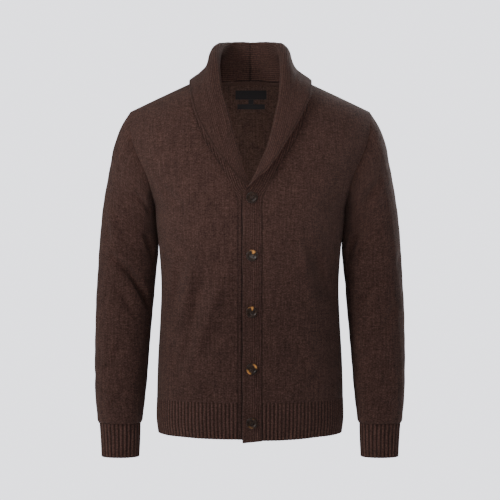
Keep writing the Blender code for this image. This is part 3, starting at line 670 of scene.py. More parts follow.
def hornFinish():
    values = {"Roughness": 0.36, "Specular IOR Level": 0.14, "Coat Weight": 0.06, "Coat Roughness": 0.12}
    made, tree, shader = newFinish("dark horn", values)
    place = wire(tree, "ShaderNodeTexCoord").outputs["Object"]
    stretched = wire(tree, "ShaderNodeMapping", {"Vector": place, "Scale": (1.0, 3.2, 1.0)}).outputs[0]
    cloudy = {"Vector": stretched, "Scale": 190.0, "Detail": 4.0, "Distortion": 0.8}
    cloud = wire(tree, "ShaderNodeTexNoise", cloudy).outputs[0]
    fine = wire(tree, "ShaderNodeTexNoise", {"Vector": stretched, "Scale": 900.0, "Detail": 3.0}).outputs[0]
    base = shades(tree, cloud, hornLook["cloud"])
    amber = shades(tree, fine, hornLook["amber"])
    streak = wire(tree, "ShaderNodeAttribute", attribute_name="amber").outputs["Fac"]
    blend = wire(tree, "ShaderNodeMix", {"Factor": streak, 6: base, 7: amber}, data_type="RGBA")
    paint(tree, shader, blend.outputs[2], fine, 0.15, 0.0001)
    return made


def floorFinish():
    made, tree, shader = newFinish("pale studio floor", {"Roughness": 0.9})
    place = wire(tree, "ShaderNodeTexCoord").outputs["Object"]
    noise = wire(tree, "ShaderNodeTexNoise", {"Vector": place, "Scale": 3.0, "Detail": 2.0}).outputs[0]
    paint(tree, shader, shades(tree, noise, ((0.3, (0.88, 0.88, 0.90)), (0.7, (0.91, 0.91, 0.93)))))
    return made


plainKnit = knitFinish("plain knit", plainLook)
insideKnitPaintedLight = knitFinish("plain knit, inside", insidePaintedLightLook)
ribKnit = knitFinish("two by two rib knit", ribLook)
collarKnit = knitFinish("fine rib knit", collarLook)
labelCloth = labelFinish()
tapeCloth = tapeFinish()
sewingThread = threadFinish()
horn = hornFinish()
print("finishes made")

# rows and columns of a front, or of half the back, and about how long they are in metres
panelCut = {
    "columns": 88,
    "rowsBelow": 112,
    "rowsAbove": 84,
    "across": 0.24,
    "above": 0.25,
    "neckCorner": 0.48,
    "seamClosing": -0.0002,
    "edgeRoll": (0.0005, 0.0004, 0.0007, 0.0006),
}


def pulledIn(points, gap):
    points = points.copy()
    for edge, inner in ((0, 1), (-1, -2)):
        points[edge] += unit(points[inner] - points[edge]) * gap
        points[:, edge] += unit(points[:, inner] - points[:, edge]) * gap
    return points


def halfPanel(facing):
    # angle and rise over a half panel, from the hem rib to the shoulder
    s = seamSteps(panelCut["columns"], panelCut["across"])
    t = seamSteps(panelCut["rowsAbove"], panelCut["above"])[3:]
    t = (t - t[0]) / (t[-1] - t[0])
    tall = form["underarm"] - form["ribTop"]
    shares = seamSteps(panelCut["rowsBelow"], tall)[:-3]
    low = -tall + tall * shares / shares[-1]
    start = angleAt(form["bandSeam"] if facing < 0 else 0.0, low)[:, None]
    below = start + (math.pi / 2 - start) * s[None, :]
    below = np.stack(np.broadcast_arrays(below, low[:, None]), axis=-1)
    armhole = borderLine(facing, armholeLine[::-1], t)
    armhole[0] = (math.pi / 2, 0)
    armhole[-1, 1] = 1
    if facing < 0:
        inner = borderLine(-1, frontNeckLine, t)
        inner[0] = (angleAt(form["bandSeam"], np.array(0.0)), 0)
        inner[-1, 1] = 1
        across = np.interp(s, (0, 1), (frontNeckLine[-1, 0], form["shoulderAcross"]))
        top = np.column_stack([angleAt(across, np.ones(len(s))), np.ones(len(s))])
    else:
        inner = np.column_stack([0 * t, backNeckLine[-1, 1] * t])
        corner = np.argmin(np.abs(s - panelCut["neckCorner"]))
        neck = borderLine(1, backNeckLine[::-1], s[: corner + 1] / s[corner], givenRise=True)
        neck[-1, 1] = 1
        across = np.interp(s[corner:], (s[corner], 1), (backNeckLine[0, 0], form["shoulderAcross"]))
        shoulder = np.column_stack([angleAt(across, np.ones(len(across))), np.ones(len(across))])
        top = np.vstack([neck, shoulder[1:]])
    top[0] = inner[-1]
    top[-1] = armhole[-1]
    bottom = np.column_stack([inner[0, 0] + (math.pi / 2 - inner[0, 0]) * s, 0 * s])
    return np.concatenate([below[:-1], coonsPatch(bottom, top, inner, armhole, s, t)])


def oneHalf(facing, side, grid):
    # points, outward normals and lengths over the cloth
    points, normals = bodyPatch(facing, side, grid[..., 0], grid[..., 1])
    uv = clothLengths(facing, grid[..., 0], grid[..., 1])
    uv[..., 0] *= side
    return points, normals, uv


def bothHalves(facing, grid):
    halves = [oneHalf(facing, side, grid) for side in (-1, 1)]
    return [np.concatenate([a[:, :0:-1], b], axis=1) for a, b in zip(*halves)]


def panel(name, node, points, normals, uv, rests):
    cut = cutSize(points)
    points = pulledIn(points, panelCut["seamClosing"])
    inner = points - normals * form["plainWall"]
    outer = points - normals * edgeSink(points, panelCut["edgeRoll"])[..., None]
    # the inner face gets the paler inside finish: painted light on the inside of the body
    made = shell(name, outer, inner, uv, plainKnit, lining=insideKnitPaintedLight)
    finishCloth(made, [node])


for name, side in (("front-left", 1), ("front-right", -1)):
    panel(name, name.replace("-", "_"), *oneHalf(-1, side, halfPanel(-1)), ["hem-rib-" + name])
panel("back-panel", "back", *bothHalves(1, halfPanel(1)), ["hem-rib-back"])
print("panels made")

# two by two rib at the hem and the cuffs
ribCut = {
    "pitch": 0.0074,
    "steps": 8,
    "hemRows": 18,
    "cuffRows": 18,
    "frontRibs": 31,
    "backRibs": 34,
    "cuffRibs": 28,
    "depth": 0.00066,
    "sunk": 0.0004,
    "wobble": 0.0004,
    "edgeRound": 0.0009,
    "frontDrop": (0.0038, 0.0019),
    "dropFrom": 0.045,
    "dropOver": 0.105,
}
# one rib: two raised columns with a slight groove between them, then two sunk columns
ribProfile = np.array((-1.0, -0.75, 0.35, 0.95, 0.70, 0.95, 0.35, -0.75))


def ribColumns(columns):
    # how raised each column is, from -1 to 1, and how far it stands out
    ridges = ribProfile[np.arange(columns) % ribCut["steps"]]
    return ridges, ridges * ribCut["depth"] - ribCut["sunk"]


def ribGrid(facing, firstX, ribs):
    # angle and rise of a hem rib with its columns on the ribs, and how far each column stands out
    heights = np.linspace(form["hem"], form["ribTop"], ribCut["hemRows"]) - form["underarm"]
    grid = np.zeros((len(heights), ribs * ribCut["steps"] + 1, 2))
    for i, rise in enumerate(heights):
        angles = np.linspace(float(angleAt(firstX, np.array(rise))), math.pi / 2, 900)
        along = runLengths(bodyPoints(facing, 1, angles, np.full(900, rise)))
        grid[i, :, 0] = np.interp(np.linspace(0, along[-1], grid.shape[1]), along, angles)
        grid[i, :, 1] = rise
    return grid


def hemRib(name, node, points, normals):
    rows, columns = points.shape[:2]
    ridges, shape = ribColumns(columns)
    down = np.linspace(1, 0, rows)[:, None]
    # the ribs start softly below the panel
    grow = ease(np.linspace(0, 1, rows)[::-1] / 0.05)[:, None]
    stand = shape[None, :] * (0.35 + 0.65 * grow)
    stand = stand + ribCut["wobble"] * np.sin(np.linspace(0, 23, columns))[None, :] * down
    up = runLengths(points, axis=0)
    across = np.arange(columns) / ribCut["steps"] * ribCut["pitch"]
    uv = np.stack([np.broadcast_to(across, up.shape), up], axis=-1)
    if points[0, 0, 1] < 0:
        # the fronts hang a little lower beside the band, more on the lapped side
        drop = ribCut["frontDrop"][0 if points[0, 0, 0] > 0 else 1]
        drop = drop * (1 - ease((np.abs(points[..., 0]) - ribCut["dropFrom"]) / ribCut["dropOver"]))
        points[..., 2] -= drop * down
    cut = cutSize(points)
    points = pulledIn(points, panelCut["seamClosing"])
    outer = points + normals * stand[..., None]
    inner = outer - normals * form["ribWall"]
    made = shell(name, outer, inner, uv, ribKnit, rounding=(0, 0, ribCut["edgeRound"], 0), ridges=ridges)
    finishCloth(made, [node])


for name, side in (("hem-rib-front-left", 1), ("hem-rib-front-right", -1)):
    points, normals, uv = oneHalf(-1, side, ribGrid(-1, form["bandSeam"], ribCut["frontRibs"]))
    hemRib(name, name.replace("-", "_"), points, normals)
points, normals, uv = bothHalves(1, ribGrid(1, 0.0, ribCut["backRibs"]))
hemRib("hem-rib-back", "hem_rib_back", points, normals)
print("hem ribs made")

# fade is how far down the armhole's form reaches, as a share of the length
# the rolls at the seams are a depth and a reach
sleeveCut = {
    "around": 132,
    "rings": 176,
    "length": 0.60,
    "squareness": 2.15,
    "radius": 0.052,
    "fade": 0.34,
    "closing": 0.0016,
    "closingAt": 0.07,
    "closingAlong": 0.05,
    "closingAround": 0.022,
    "underarmRoll": (0.0005, 0.0022),
    "armholeRoll": (0.0006, 0.0016),
    "cuffRoll": (0.0020, 0.0032),
    "cuffTurn": 0.006,
}

# outer across, outer height, inner across, inner height, front depth, back depth
sleeveRows = (
    (0.2282, -0.0720, 0.1800, -0.2552, -0.0480, 0.0640),
    (0.2430, -0.0950, 0.1805, -0.2600, -0.0510, 0.0720),
    (0.2575, -0.1290, 0.1792, -0.2700, -0.0510, 0.0770),
    (0.2673, -0.1750, 0.1772, -0.2850, -0.0480, 0.0790),
    (0.2773, -0.2318, 0.1752, -0.3060, -0.0450, 0.0770),
    (0.2859, -0.3050, 0.1752, -0.3400, -0.0430, 0.0710),
    (0.2901, -0.3850, 0.1808, -0.3950, -0.0450, 0.0610),
    (0.2932, -0.4650, 0.1863, -0.4680, -0.0520, 0.0480),
    (0.2932, -0.5400, 0.1917, -0.5420, -0.0590, 0.0340),
    (0.2911, -0.6050, 0.1971, -0.6060, -0.0620, 0.0200),
    (0.2864, -0.6585, 0.2025, -0.6585, -0.0600, 0.0090),
)
cuffRows = (
    (0.2828, -0.6590, 0.2058, -0.6590, -0.0560, 0.0040),
    (0.2806, -0.6880, 0.2064, -0.6880, -0.0560, 0.0015),
    (0.2788, -0.7210, 0.2080, -0.7210, -0.0560, -0.0010),
)
# Folds, with turns in degrees round from the outer side over the front.
# from turn, from height, to turn, to height, half width, depth (minus for a ridge)
sleeveFolds = {
    -1: (
        (60, -0.3380, 160, -0.4500, 0.0092, 0.0130),
        (50, -0.3300, 100, -0.3700, 0.0110, -0.0030),
        (30, -0.1000, 62, -0.1280, 0.0050, 0.0015),
        (36, -0.1220, 68, -0.1480, 0.0050, 0.0017),
        (42, -0.1450, 76, -0.1680, 0.0050, 0.0015),
        (38, -0.1660, 72, -0.1900, 0.0060, 0.0015),
        (118, -0.300, 150, -0.350, 0.0098, 0.0070),
        (70, -0.395, 120, -0.470, 0.0090, 0.0039),
        (40, -0.250, 75, -0.330, 0.0115, -0.0035),
        (95, -0.230, 140, -0.268, 0.0082, 0.0053),
        (100, -0.500, 60, -0.560, 0.0107, 0.0035),
        (110, -0.585, 65, -0.625, 0.0090, 0.0042),
        (-60, -0.330, -115, -0.420, 0.0131, 0.0070),
        (-70, -0.250, -120, -0.290, 0.0107, 0.0049),
        (-50, -0.440, -110, -0.500, 0.0107, 0.0046),
        (-60, -0.590, -110, -0.625, 0.0098, 0.0039),
        (10, -0.560, -30, -0.610, 0.0115, 0.0028),
    ),
    1: (
        (34, -0.1120, 66, -0.1380, 0.0050, 0.0015),
        (42, -0.1400, 74, -0.1620, 0.0055, 0.0015),
        (70, -0.380, 130, -0.455, 0.0115, 0.0070),
        (60, -0.200, 105, -0.260, 0.0098, 0.0059),
        (110, -0.300, 148, -0.352, 0.0098, 0.0070),
        (80, -0.300, 118, -0.352, 0.0098, 0.0046),
        (45, -0.430, 90, -0.500, 0.0107, 0.0035),
        (100, -0.530, 62, -0.585, 0.0107, 0.0039),
        (120, -0.600, 70, -0.632, 0.0082, 0.0039),
        (-60, -0.340, -120, -0.430, 0.0131, 0.0074),
        (-75, -0.235, -118, -0.285, 0.0107, 0.0053),
        (-50, -0.460, -105, -0.520, 0.0107, 0.0046),
        (-55, -0.600, -105, -0.632, 0.0098, 0.0039),
        (5, -0.330, 40, -0.370, 0.0107, 0.0024),
    ),
}


def tubeRing(rows, side, turn):
    rows = rows[:, None, :]
    power = 2 / sleeveCut["squareness"]
    out = np.sign(np.cos(turn)) * np.abs(np.cos(turn)) ** power
    ahead = np.sign(np.sin(turn)) * np.abs(np.sin(turn)) ** power
    x = (rows[..., 0] + rows[..., 2]) / 2 + (rows[..., 0] - rows[..., 2]) / 2 * out
    z = (rows[..., 1] + rows[..., 3]) / 2 + (rows[..., 1] - rows[..., 3]) / 2 * out
    y = (rows[..., 4] + rows[..., 5]) / 2 - (rows[..., 5] - rows[..., 4]) / 2 * ahead
    return np.stack(np.broadcast_arrays(side * x, y, z), axis=-1)


def tubeNormals(rings):
    around = np.roll(rings, -1, axis=1) - np.roll(rings, 1, axis=1)
    normal = unit(np.cross(around, np.gradient(rings, axis=0)))
    outward = rings - rings.mean(axis=1, keepdims=True)
    return normal if np.sum(normal * outward) > 0 else -normal


def armholeRing(side):
    # from the underarm up the back to the shoulder, then down the front, with the body's normals there
    half = sleeveCut["around"] // 2
    ring, outward = [], []
    for facing in (1, -1):
        line = borderLine(facing, armholeLine, np.linspace(0, 1, half + 1))
        line[0, 1] = 1
        line[-1] = (math.pi / 2, 0)
        points, normals = bodyPatch(facing, side, line[:, 0], line[:, 1])
        if facing > 0:
            points, normals = points[::-1], normals[::-1]
        ring.append(points[:-1])
        outward.append(normals[:-1])
    return np.concatenate(ring), np.concatenate(outward)


def evenRings(rings, count):
    # the same rings with count points at even steps round, from the underarm seam
    made = np.zeros((len(rings), count, 3))
    for i, ring in enumerate(np.concatenate([rings, rings[:, :1]], axis=1)):
        along = runLengths(ring)
        made[i] = sampled(np.linspace(0, along[-1], count + 1)[:-1], along, ring)
    return made


def tubeUv(rings, pitch=0):
    closedRings = np.concatenate([rings, rings[:, :1]], axis=1)
    rounded = runLengths(closedRings, axis=1)
    total = rounded[:, -1]
    u = rounded[:, :-1] - total[:, None] / 2
    if pitch:
        u = np.broadcast_to(np.arange(rings.shape[1]) * pitch, u.shape)
        total = np.full(len(rings), rings.shape[1] * pitch)
    up = runLengths(rings, axis=0).mean(axis=1)
    return np.stack([u, np.broadcast_to(-up[:, None], u.shape)], axis=-1), total


def sleeve(name, side):
    turn = -math.pi + np.arange(sleeveCut["around"]) * 2 * math.pi / sleeveCut["around"]
    radius = sleeveCut["radius"]
    share = seamSteps(sleeveCut["rings"], sleeveCut["length"])
    rows = smoothRows(sleeveRows, 900)
    rings = tubeRing(sampled(share, np.linspace(0, 1, len(rows)), rows), side, turn)
    armhole, bodyNormals = armholeRing(side)
    fade = 1 - ease(share / sleeveCut["fade"])
    rings = rings + fade[:, None, None] * (armhole - rings[0])[None]
    rings[..., 0] += side * form["sleeveGap"] * fade[:, None]
    # the seam sits close under the arm
    closeDown = closeTo(share - sleeveCut["closingAt"], sleeveCut["closingAlong"])[:, None]
    closeRound = closeTo((np.abs(turn) - math.pi) * radius, sleeveCut["closingAround"])[None, :]
    rings[..., 0] -= side * sleeveCut["closing"] * (closeDown * closeRound)
    folds = []
    for a, z0, b, z1, width, deep in sleeveFolds[side]:
        folds.append((math.radians(a) * radius, z0, math.radians(b) * radius, z1, width, deep))
    sink = foldDepth(folds, turn * radius, rings[..., 2])
    sink = sink + softWaves(turn * radius * 1.6, rings[..., 2], 2.2 + side)
    sink = sink * ease(share / 0.10)[:, None]
    rings = rings - tubeNormals(rings) * sink[..., None]
    normals = tubeNormals(rings)
    cut = cutSize(rings, wraps=True)
    uv, total = tubeUv(rings)
    along = runLengths(rings, axis=0)
    toCuff = along[-1:] - along
    fromSeam = np.minimum(np.abs(turn + math.pi) * radius, np.abs(turn - math.pi) * radius)
    rolls = []
    for key, way in (("underarmRoll", fromSeam[None, :]), ("armholeRoll", along), ("cuffRoll", toCuff)):
        deep, reach = sleeveCut[key]
        rolls.append(deep * closeTo(way, reach))
    rollIn = rolls[0] * ease((along - 0.05) / 0.05) + rolls[1] + rolls[2]
    rim = unit(normals[0] + bodyNormals)
    low = np.maximum(np.sum(rim * bodyNormals, axis=-1, keepdims=True), 0.6)
    inner = rings - normals * form["plainWall"]
    inner[0] = rings[0] - rim * form["plainWall"] / low
    outer = rings - normals * rollIn[..., None]
    inner = np.where(toCuff[..., None] < sleeveCut["cuffTurn"], inner - normals * rollIn[..., None], inner)
    made = shell(name, outer, inner, uv, plainKnit, wrapUv=total)
    finishCloth(made, [name.replace("-", "_")])


def cuff(name, side):
    turn = -math.pi + np.arange(720) * 2 * math.pi / 720
    dense = tubeRing(smoothRows(cuffRows, ribCut["cuffRows"]), side, turn)
    rings = evenRings(dense, ribCut["cuffRibs"] * ribCut["steps"])
    normals = tubeNormals(rings)
    ridges, stand = ribColumns(rings.shape[1])
    cut = cutSize(rings, wraps=True)
    uv, total = tubeUv(rings, ribCut["pitch"] / ribCut["steps"])
    outer = rings + normals * stand[:, None]
    inner = outer - normals * form["ribWall"]
    made = shell(name, outer, inner, uv, ribKnit, (0, 0, 0, ribCut["edgeRound"]), wrapUv=total, ridges=ridges)
    finishCloth(made, [name.replace("-", "_")])


for word, side in (("left", 1), ("right", -1)):
    sleeve("sleeve-" + word, side)
    cuff("cuff-" + word, side)
print("sleeves and cuffs made")

# button band and collar, one strip each side, knitted in one by one rib
# each roll is a depth and a reach, each line of painted shade a strength and a reach
collarCut = {
    "pitch": 0.0040,
    "steps": 6,
    "row": 0.0034,
    "ribDepth": 0.00056,
    "bandRibs": 0.017,
    "bandRibShare": 0.6,
    "bandPlain": 0.12,
    "underBandRibs": 0.4,
    "fallRibs": (0.022, 0.052),
    "topEdge": -0.0130,
    "underEdge": -0.0180,
    "topLift": 0.0013,
    "underLift": -0.0009,
    "seamRoll": (0.0006, 0.0012),
    "middleRoll": (0.0007, 0.0016),
    "seamLine": (2.4, 0.0013),
    "creaseLine": (2.2, 0.0015),
    "creaseOut": 0.0014,
    "selvedgeLine": (1.3, 0.0009),
    "selvedgeIn": 0.0031,
    "middleLine": (2.2, 0.0013),
    "edgeRound": (0, 0.0010, 0.0008, 0),
    "edgeWander": 0.00045,
    "topFoot": (0.0011, -0.0020),
    "underFoot": (0.0034, 0.0034),
    "footReach": 0.012,
}
ribRound = np.cos(np.arange(collarCut["steps"]) * 2 * math.pi / collarCut["steps"]) * collarCut["ribDepth"]

# share of the neck seam's length; roll across, out, up; free edge across, out, up; roll radius
# The rows behind the neck are the same on both sides.
behindNeck = (
    (0.765, 0.0560, 0.0400, 0.0610, 0.1060, 0.0460, -0.0100, 0.0086),
    (0.840, 0.0450, 0.0740, 0.0690, 0.0820, 0.0790, -0.0130, 0.0078),
    (0.922, 0.0250, 0.0890, 0.0722, 0.0430, 0.0970, -0.0160, 0.0070),
    (1.000, 0.0000, 0.0930, 0.0722, 0.0000, 0.1030, -0.0180, 0.0068),
)
leftCollar = np.array([
    (0.000, -0.0130, -0.1295, -0.2550, -0.0130, -0.1295, -0.2550, 0.0010),
    (0.032, -0.0122, -0.1310, -0.2400, -0.0122, -0.1310, -0.2400, 0.0010),
    (0.052, -0.0078, -0.1332, -0.2250, -0.0078, -0.1332, -0.2250, 0.0010),
    (0.068, 0.0010, -0.1345, -0.2130, 0.0014, -0.1380, -0.2150, 0.0016),
    (0.086, 0.0085, -0.1350, -0.1995, 0.0120, -0.1410, -0.2050, 0.0024),
    (0.121, 0.0168, -0.1325, -0.1830, 0.0255, -0.1420, -0.1953, 0.0036),
    (0.184, 0.0281, -0.1260, -0.1560, 0.0445, -0.1400, -0.1725, 0.0046),
    (0.294, 0.0391, -0.1160, -0.1180, 0.0655, -0.1310, -0.1395, 0.0052),
    (0.397, 0.0476, -0.1010, -0.0800, 0.0870, -0.1170, -0.1040, 0.0058),
    (0.510, 0.0554, -0.0760, -0.0330, 0.1045, -0.0960, -0.0650, 0.0066),
    (0.560, 0.0570, -0.0580, -0.0090, 0.1115, -0.0790, -0.0470, 0.0072),
    (0.600, 0.0577, -0.0400, 0.0130, 0.1140, -0.0580, -0.0320, 0.0078),
    (0.640, 0.0582, -0.0200, 0.0290, 0.1152, -0.0310, -0.0190, 0.0084),
    (0.690, 0.0585, 0.0020, 0.0430, 0.1155, 0.0040, -0.0110, 0.0088),
    *behindNeck,
])
rightCollar = np.array([
    (0.000, -0.0180, -0.1240, -0.2550, -0.0180, -0.1240, -0.2550, 0.0010),
    (0.032, -0.0160, -0.1242, -0.2400, -0.0160, -0.1242, -0.2400, 0.0010),
    (0.052, -0.0095, -0.1250, -0.2270, -0.0095, -0.1250, -0.2270, 0.0010),
    (0.068, 0.0010, -0.1265, -0.2130, 0.0030, -0.1275, -0.2175, 0.0016),
    (0.086, 0.0067, -0.1285, -0.1995, 0.0140, -0.1320, -0.2105, 0.0022),
    (0.121, 0.0136, -0.1285, -0.1830, 0.0250, -0.1350, -0.2010, 0.0030),
    (0.184, 0.0206, -0.1250, -0.1560, 0.0423, -0.1350, -0.1799, 0.0040),
    (0.294, 0.0305, -0.1160, -0.1180, 0.0630, -0.1290, -0.1530, 0.0046),
    (0.397, 0.0402, -0.1010, -0.0800, 0.0865, -0.1170, -0.1130, 0.0052),
    (0.510, 0.0526, -0.0760, -0.0330, 0.1030, -0.0980, -0.0740, 0.0062),
    (0.560, 0.0560, -0.0580, -0.0090, 0.1090, -0.0790, -0.0500, 0.0070),
    (0.600, 0.0577, -0.0400, 0.0130, 0.1120, -0.0580, -0.0340, 0.0076),
    (0.640, 0.0582, -0.0200, 0.0290, 0.1135, -0.0310, -0.0200, 0.0084),
    (0.690, 0.0585, 0.0020, 0.0430, 0.1140, 0.0040, -0.0110, 0.0088),
    *behindNeck,
])
# share of the neck seam's length, how far the fall's middle stands out in roll radii
fallBulge = np.array([(0.0, 0.5), (0.5, 0.5), (0.62, -0.2), (0.72, -0.4), (0.85, -0.2), (1.0, 0.0)])
acrossSection = 300  # points across the strip, before its columns are placed


def neckSeam(lap):
    # the neck seam on the wearer's left from the underarm's level to the centre back, with normals
    frontLength, backLength = 0.285, 0.17
    ahead = borderLine(-1, frontNeckLine, np.linspace(0, 1, int(frontLength / collarCut["row"])))
    ahead[0] = (angleAt(form["bandSeam"], np.array(0.0)), 0)
    ahead[-1, 1] = 1
    ends = 1 - np.array((0.0042, 0.0022, 0.0009, 0.0)) / backLength
    shares = np.concatenate([np.linspace(0, ends[0], int(backLength / collarCut["row"]))[1:], ends[1:]])
    behind = borderLine(1, backNeckLine, shares, givenRise=True)
    frontPoints, frontNormals = bodyPatch(-1, 1, ahead[:, 0], ahead[:, 1], lap)
    backPoints, backNormals = bodyPatch(1, 1, behind[:, 0], behind[:, 1])
    return np.concatenate([frontPoints, backPoints]), np.concatenate([frontNormals, backNormals])


def collarSection(seam, roll, edge, radius, bulge, along):
    # up the stand from the seam, over the roll and down to the free edge; and how far along the roll is
    rise = unit(roll - (seam + edge) / 2)
    out = unit(np.cross(along, rise))
    fall = np.linalg.norm(edge - roll)
    radius = min(radius, 0.35 * fall)
    knots = [seam, (seam + roll - out * radius) / 2 - rise * radius / 2]
    if fall > 0.002:
        for turn in (-90, -45, 0, 45, 90):
            a = math.radians(turn)
            knots.append(roll - rise * radius * (1 - math.cos(a)) + out * radius * math.sin(a))
        knots.append((roll + edge) / 2 + out * radius * bulge)
    knots.append(edge)
    chords = runLengths(np.array(knots))
    dense = smoothRows(knots, acrossSection)
    arcs = runLengths(dense)
    rollShare = chords[4] / chords[-1] if fall > 0.002 else 1.0
    return dense, np.interp(rollShare, np.linspace(0, 1, acrossSection), arcs)


def flatBand(edge, lap, lift):
    rows = int(0.428 / collarCut["row"])
    foot = form["bandFoot"] + np.array((0, 0.0010, 0.0024))  # closer together, for the rounded edge
    heights = np.concatenate([foot, np.linspace(-0.678, -0.2585, rows)])
    across = np.linspace(form["bandSeam"], edge, acrossSection)
    rise = np.repeat((heights - form["underarm"])[:, None], acrossSection, axis=1)
    points, normals = bodyPatch(-1, 1, angleAt(across[None, :], rise), rise, lap)
    # the free edge wanders a little between the buttons
    toEdge = np.linspace(0, 1, acrossSection)
    wander = collarCut["edgeWander"] * np.sin(heights * 61 + 0.7) + 0.0003 * np.sin(heights * 143)
    points[..., 0] = across + toEdge**3 * wander[:, None]
    points[..., 1] += toEdge**3 * (0.0004 * np.sin(heights * 83))[:, None]
    # the top band stands off the other towards its free edge; the foot of each has its own slope
    curl = max(lift, 0) * 0.9 * ease((toEdge - 0.80) / 0.14) * (1 - 0.8 * ease((toEdge - 0.95) / 0.05))
    points = points + normals * (lift * ease(toEdge / 0.45) + curl)[None, :, None]
    slope = np.interp(toEdge, (0, 1), collarCut["topFoot" if lift > 0 else "underFoot"])
    points[..., 2] += slope * np.exp(-(heights - heights[0]) / collarCut["footReach"])[:, None]
    return points - normals * form["collarWall"] / 2


def collarSections(table, edge, lap, lift):
    # the strip's middle surface in dense sections, band first, and how far along each one the roll is
    seam, seamNormals = neckSeam(lap)
    foot = seam - seamNormals * form["collarWall"] / 2
    share = runLengths(seam)
    share = share / share[-1]
    rows = np.column_stack([through(share, table[:, 0], column) for column in table.T[1:]])
    bulge = through(share, fallBulge[:, 0], fallBulge[:, 1])
    along = np.gradient(rows[:, :3], axis=0)
    flat = flatBand(edge, lap, lift)
    sections = list(flat)
    rolls = [runLengths(section)[-1] for section in flat]
    for k, row in enumerate(rows):
        section, rollAt = collarSection(foot[k], row[:3], row[3:6], row[6], bulge[k], along[k])
        sections.append(section)
        rolls.append(rollAt)
    # how much of a row is collar: none on the band, all of it a little above the first button
    collarness = ease(np.concatenate([np.zeros(len(flat)), share / 0.075]))[:, None]
    return np.array(sections), np.array(rolls), collarness, seamNormals


def collarStrip(word, side, table, edge, lap, lift):
    dense, rolls, collarness, seamNormals = collarSections(table, edge, lap, lift)
    bandRows = len(dense) - len(seamNormals)
    denseNormals = unit(np.cross(np.gradient(dense, axis=1), np.gradient(dense, axis=0)))
    if denseNormals[2, acrossSection // 2, 1] > 0:
        denseNormals = -denseNormals
    # columns a fixed way from the roll, so that the ribs run along it
    arcs = runLengths(dense, axis=1)
    total = arcs[:, -1]
    step = collarCut["pitch"] / collarCut["steps"]
    low = int(np.ceil(rolls.max() / step)) + 1
    high = int(np.ceil((total - rolls).max() / step)) + 1
    fromRoll = (np.arange(low + high + 1) - low) * step
    at = rolls[:, None] + fromRoll[None, :]
    first = np.argmax(at >= -0.5 * step, axis=1)
    last = at.shape[1] - 1 - np.argmax((at <= total[:, None] + 0.5 * step)[:, ::-1], axis=1)
    spots = np.arange(at.shape[1])[None, :]
    at = np.where(spots <= first[:, None], 0, np.where(spots >= last[:, None], total[:, None], at))
    toEdge = total[:, None] - at
    middle = np.zeros(at.shape + (3,))
    normals = np.zeros_like(middle)
    for i in range(len(dense)):
        middle[i] = sampled(at[i], arcs[i], dense[i])
        normals[i] = sampled(at[i], arcs[i], denseNormals[i])
    normals = unit(normals)
    for i in range(bandRows, len(dense)):
        normals[i, : first[i] + 1] = seamNormals[i - bandRows]
    middle[-1, :, 0] = -0.0001
    normals[-1, :, 0] = 0
    cut = cutSize(middle)
    # ribs: deep on the collar's stand and roll, fading out down the fall and out from the band's seam
    near, far = collarCut["fallRibs"]
    strong, faint = collarCut["bandRibShare"], collarCut["bandPlain"]
    onBand = strong - (strong - faint) * ease((at - collarCut["bandRibs"]) / 0.005)
    onBand = onBand * (1.0 if side > 0 else collarCut["underBandRibs"])
    onFall = 1 - 0.35 * ease(fromRoll / 0.008) - 0.55 * ease((fromRoll - near) / (far - near))
    amount = (1 - collarness) * onBand + collarness * onFall[None, :]
    amount = amount * (0.3 + 0.7 * ease(toEdge / 0.003)) * ease(at / 0.0015)
    ribs = ribRound[(np.arange(at.shape[1]) - low) % collarCut["steps"]][None, :] * amount
    upStrip = runLengths(dense[:, acrossSection // 2])[:, None]
    toMiddle = upStrip[-1] - upStrip

    def line(key, distance):
        strength, width = collarCut[key]
        return strength * closeTo(distance, width)

    closing = line("middleRoll", toMiddle)
    sink = np.maximum(line("seamRoll", at), closing)
    uneven = softWaves(middle[..., 0] * 2, middle[..., 2] * 2, 5 + side) * ease(toEdge / 0.02)
    mirror = np.array([side, 1, 1])
    half = form["collarWall"] / 2
    outer = (middle + normals * (half + ribs - sink + uneven)[..., None]) * mirror
    inner = (middle - normals * (half - ribs - closing - uneven)[..., None]) * mirror
    uv = np.stack([np.broadcast_to(fromRoll[None, :], at.shape), np.broadcast_to(upStrip, at.shape)], axis=-1)
    # painted shade along the sunk seam down the front, along the collar's selvedge and in the seam at the
    # centre back
    paintedShadeLines = line("seamLine", at) * (1 - 0.4 * collarness)
    if side < 0:
        # painted shade in the crease beside the top band's free edge
        fromEdge = middle[..., 0] + collarCut["topEdge"] - collarCut["creaseOut"]
        paintedShadeLines = paintedShadeLines + line("creaseLine", fromEdge) * (1 - collarness)
    paintedShadeLines = paintedShadeLines + line("selvedgeLine", toEdge - collarCut["selvedgeIn"]) * collarness
    paintedShadeLines = paintedShadeLines + line("middleLine", toMiddle)
    made = shell("band-and-collar-" + word, outer, inner, uv, collarKnit, collarCut["edgeRound"],
                 keep=(first, last), ridges=ribs / collarCut["ribDepth"], paintedShadeLines=paintedShadeLines)
    finishCloth(made, ["band_collar_" + word])


collarStrip("left", 1, leftCollar, collarCut["topEdge"], 0.0, collarCut["topLift"])
collarStrip("right", -1, rightCollar, collarCut["underEdge"], form["lap"], collarCut["underLift"])
print("bands and collar made")

# labels and tape inside the back neck
trim = {
    "wall": 0.0008,
    "labelGap": 0.0020,
    "tapeGap": 0.0011,
    "hem": 0.0012,
    "hemRise": 0.00025,
    "edgeRound": 0.0002,
    "tapeTop": 0.0010,
    "tapeFoot": 0.0080,
}
# name, lowest across, highest across, lowest height, highest height
labelRows = (
    ("main", -0.0290, 0.0330, -0.0370, -0.0200),
    ("size", -0.0030, 0.0070, -0.0460, -0.0376),
    ("care", -0.0250, 0.0295, -0.0560, -0.0466),
)


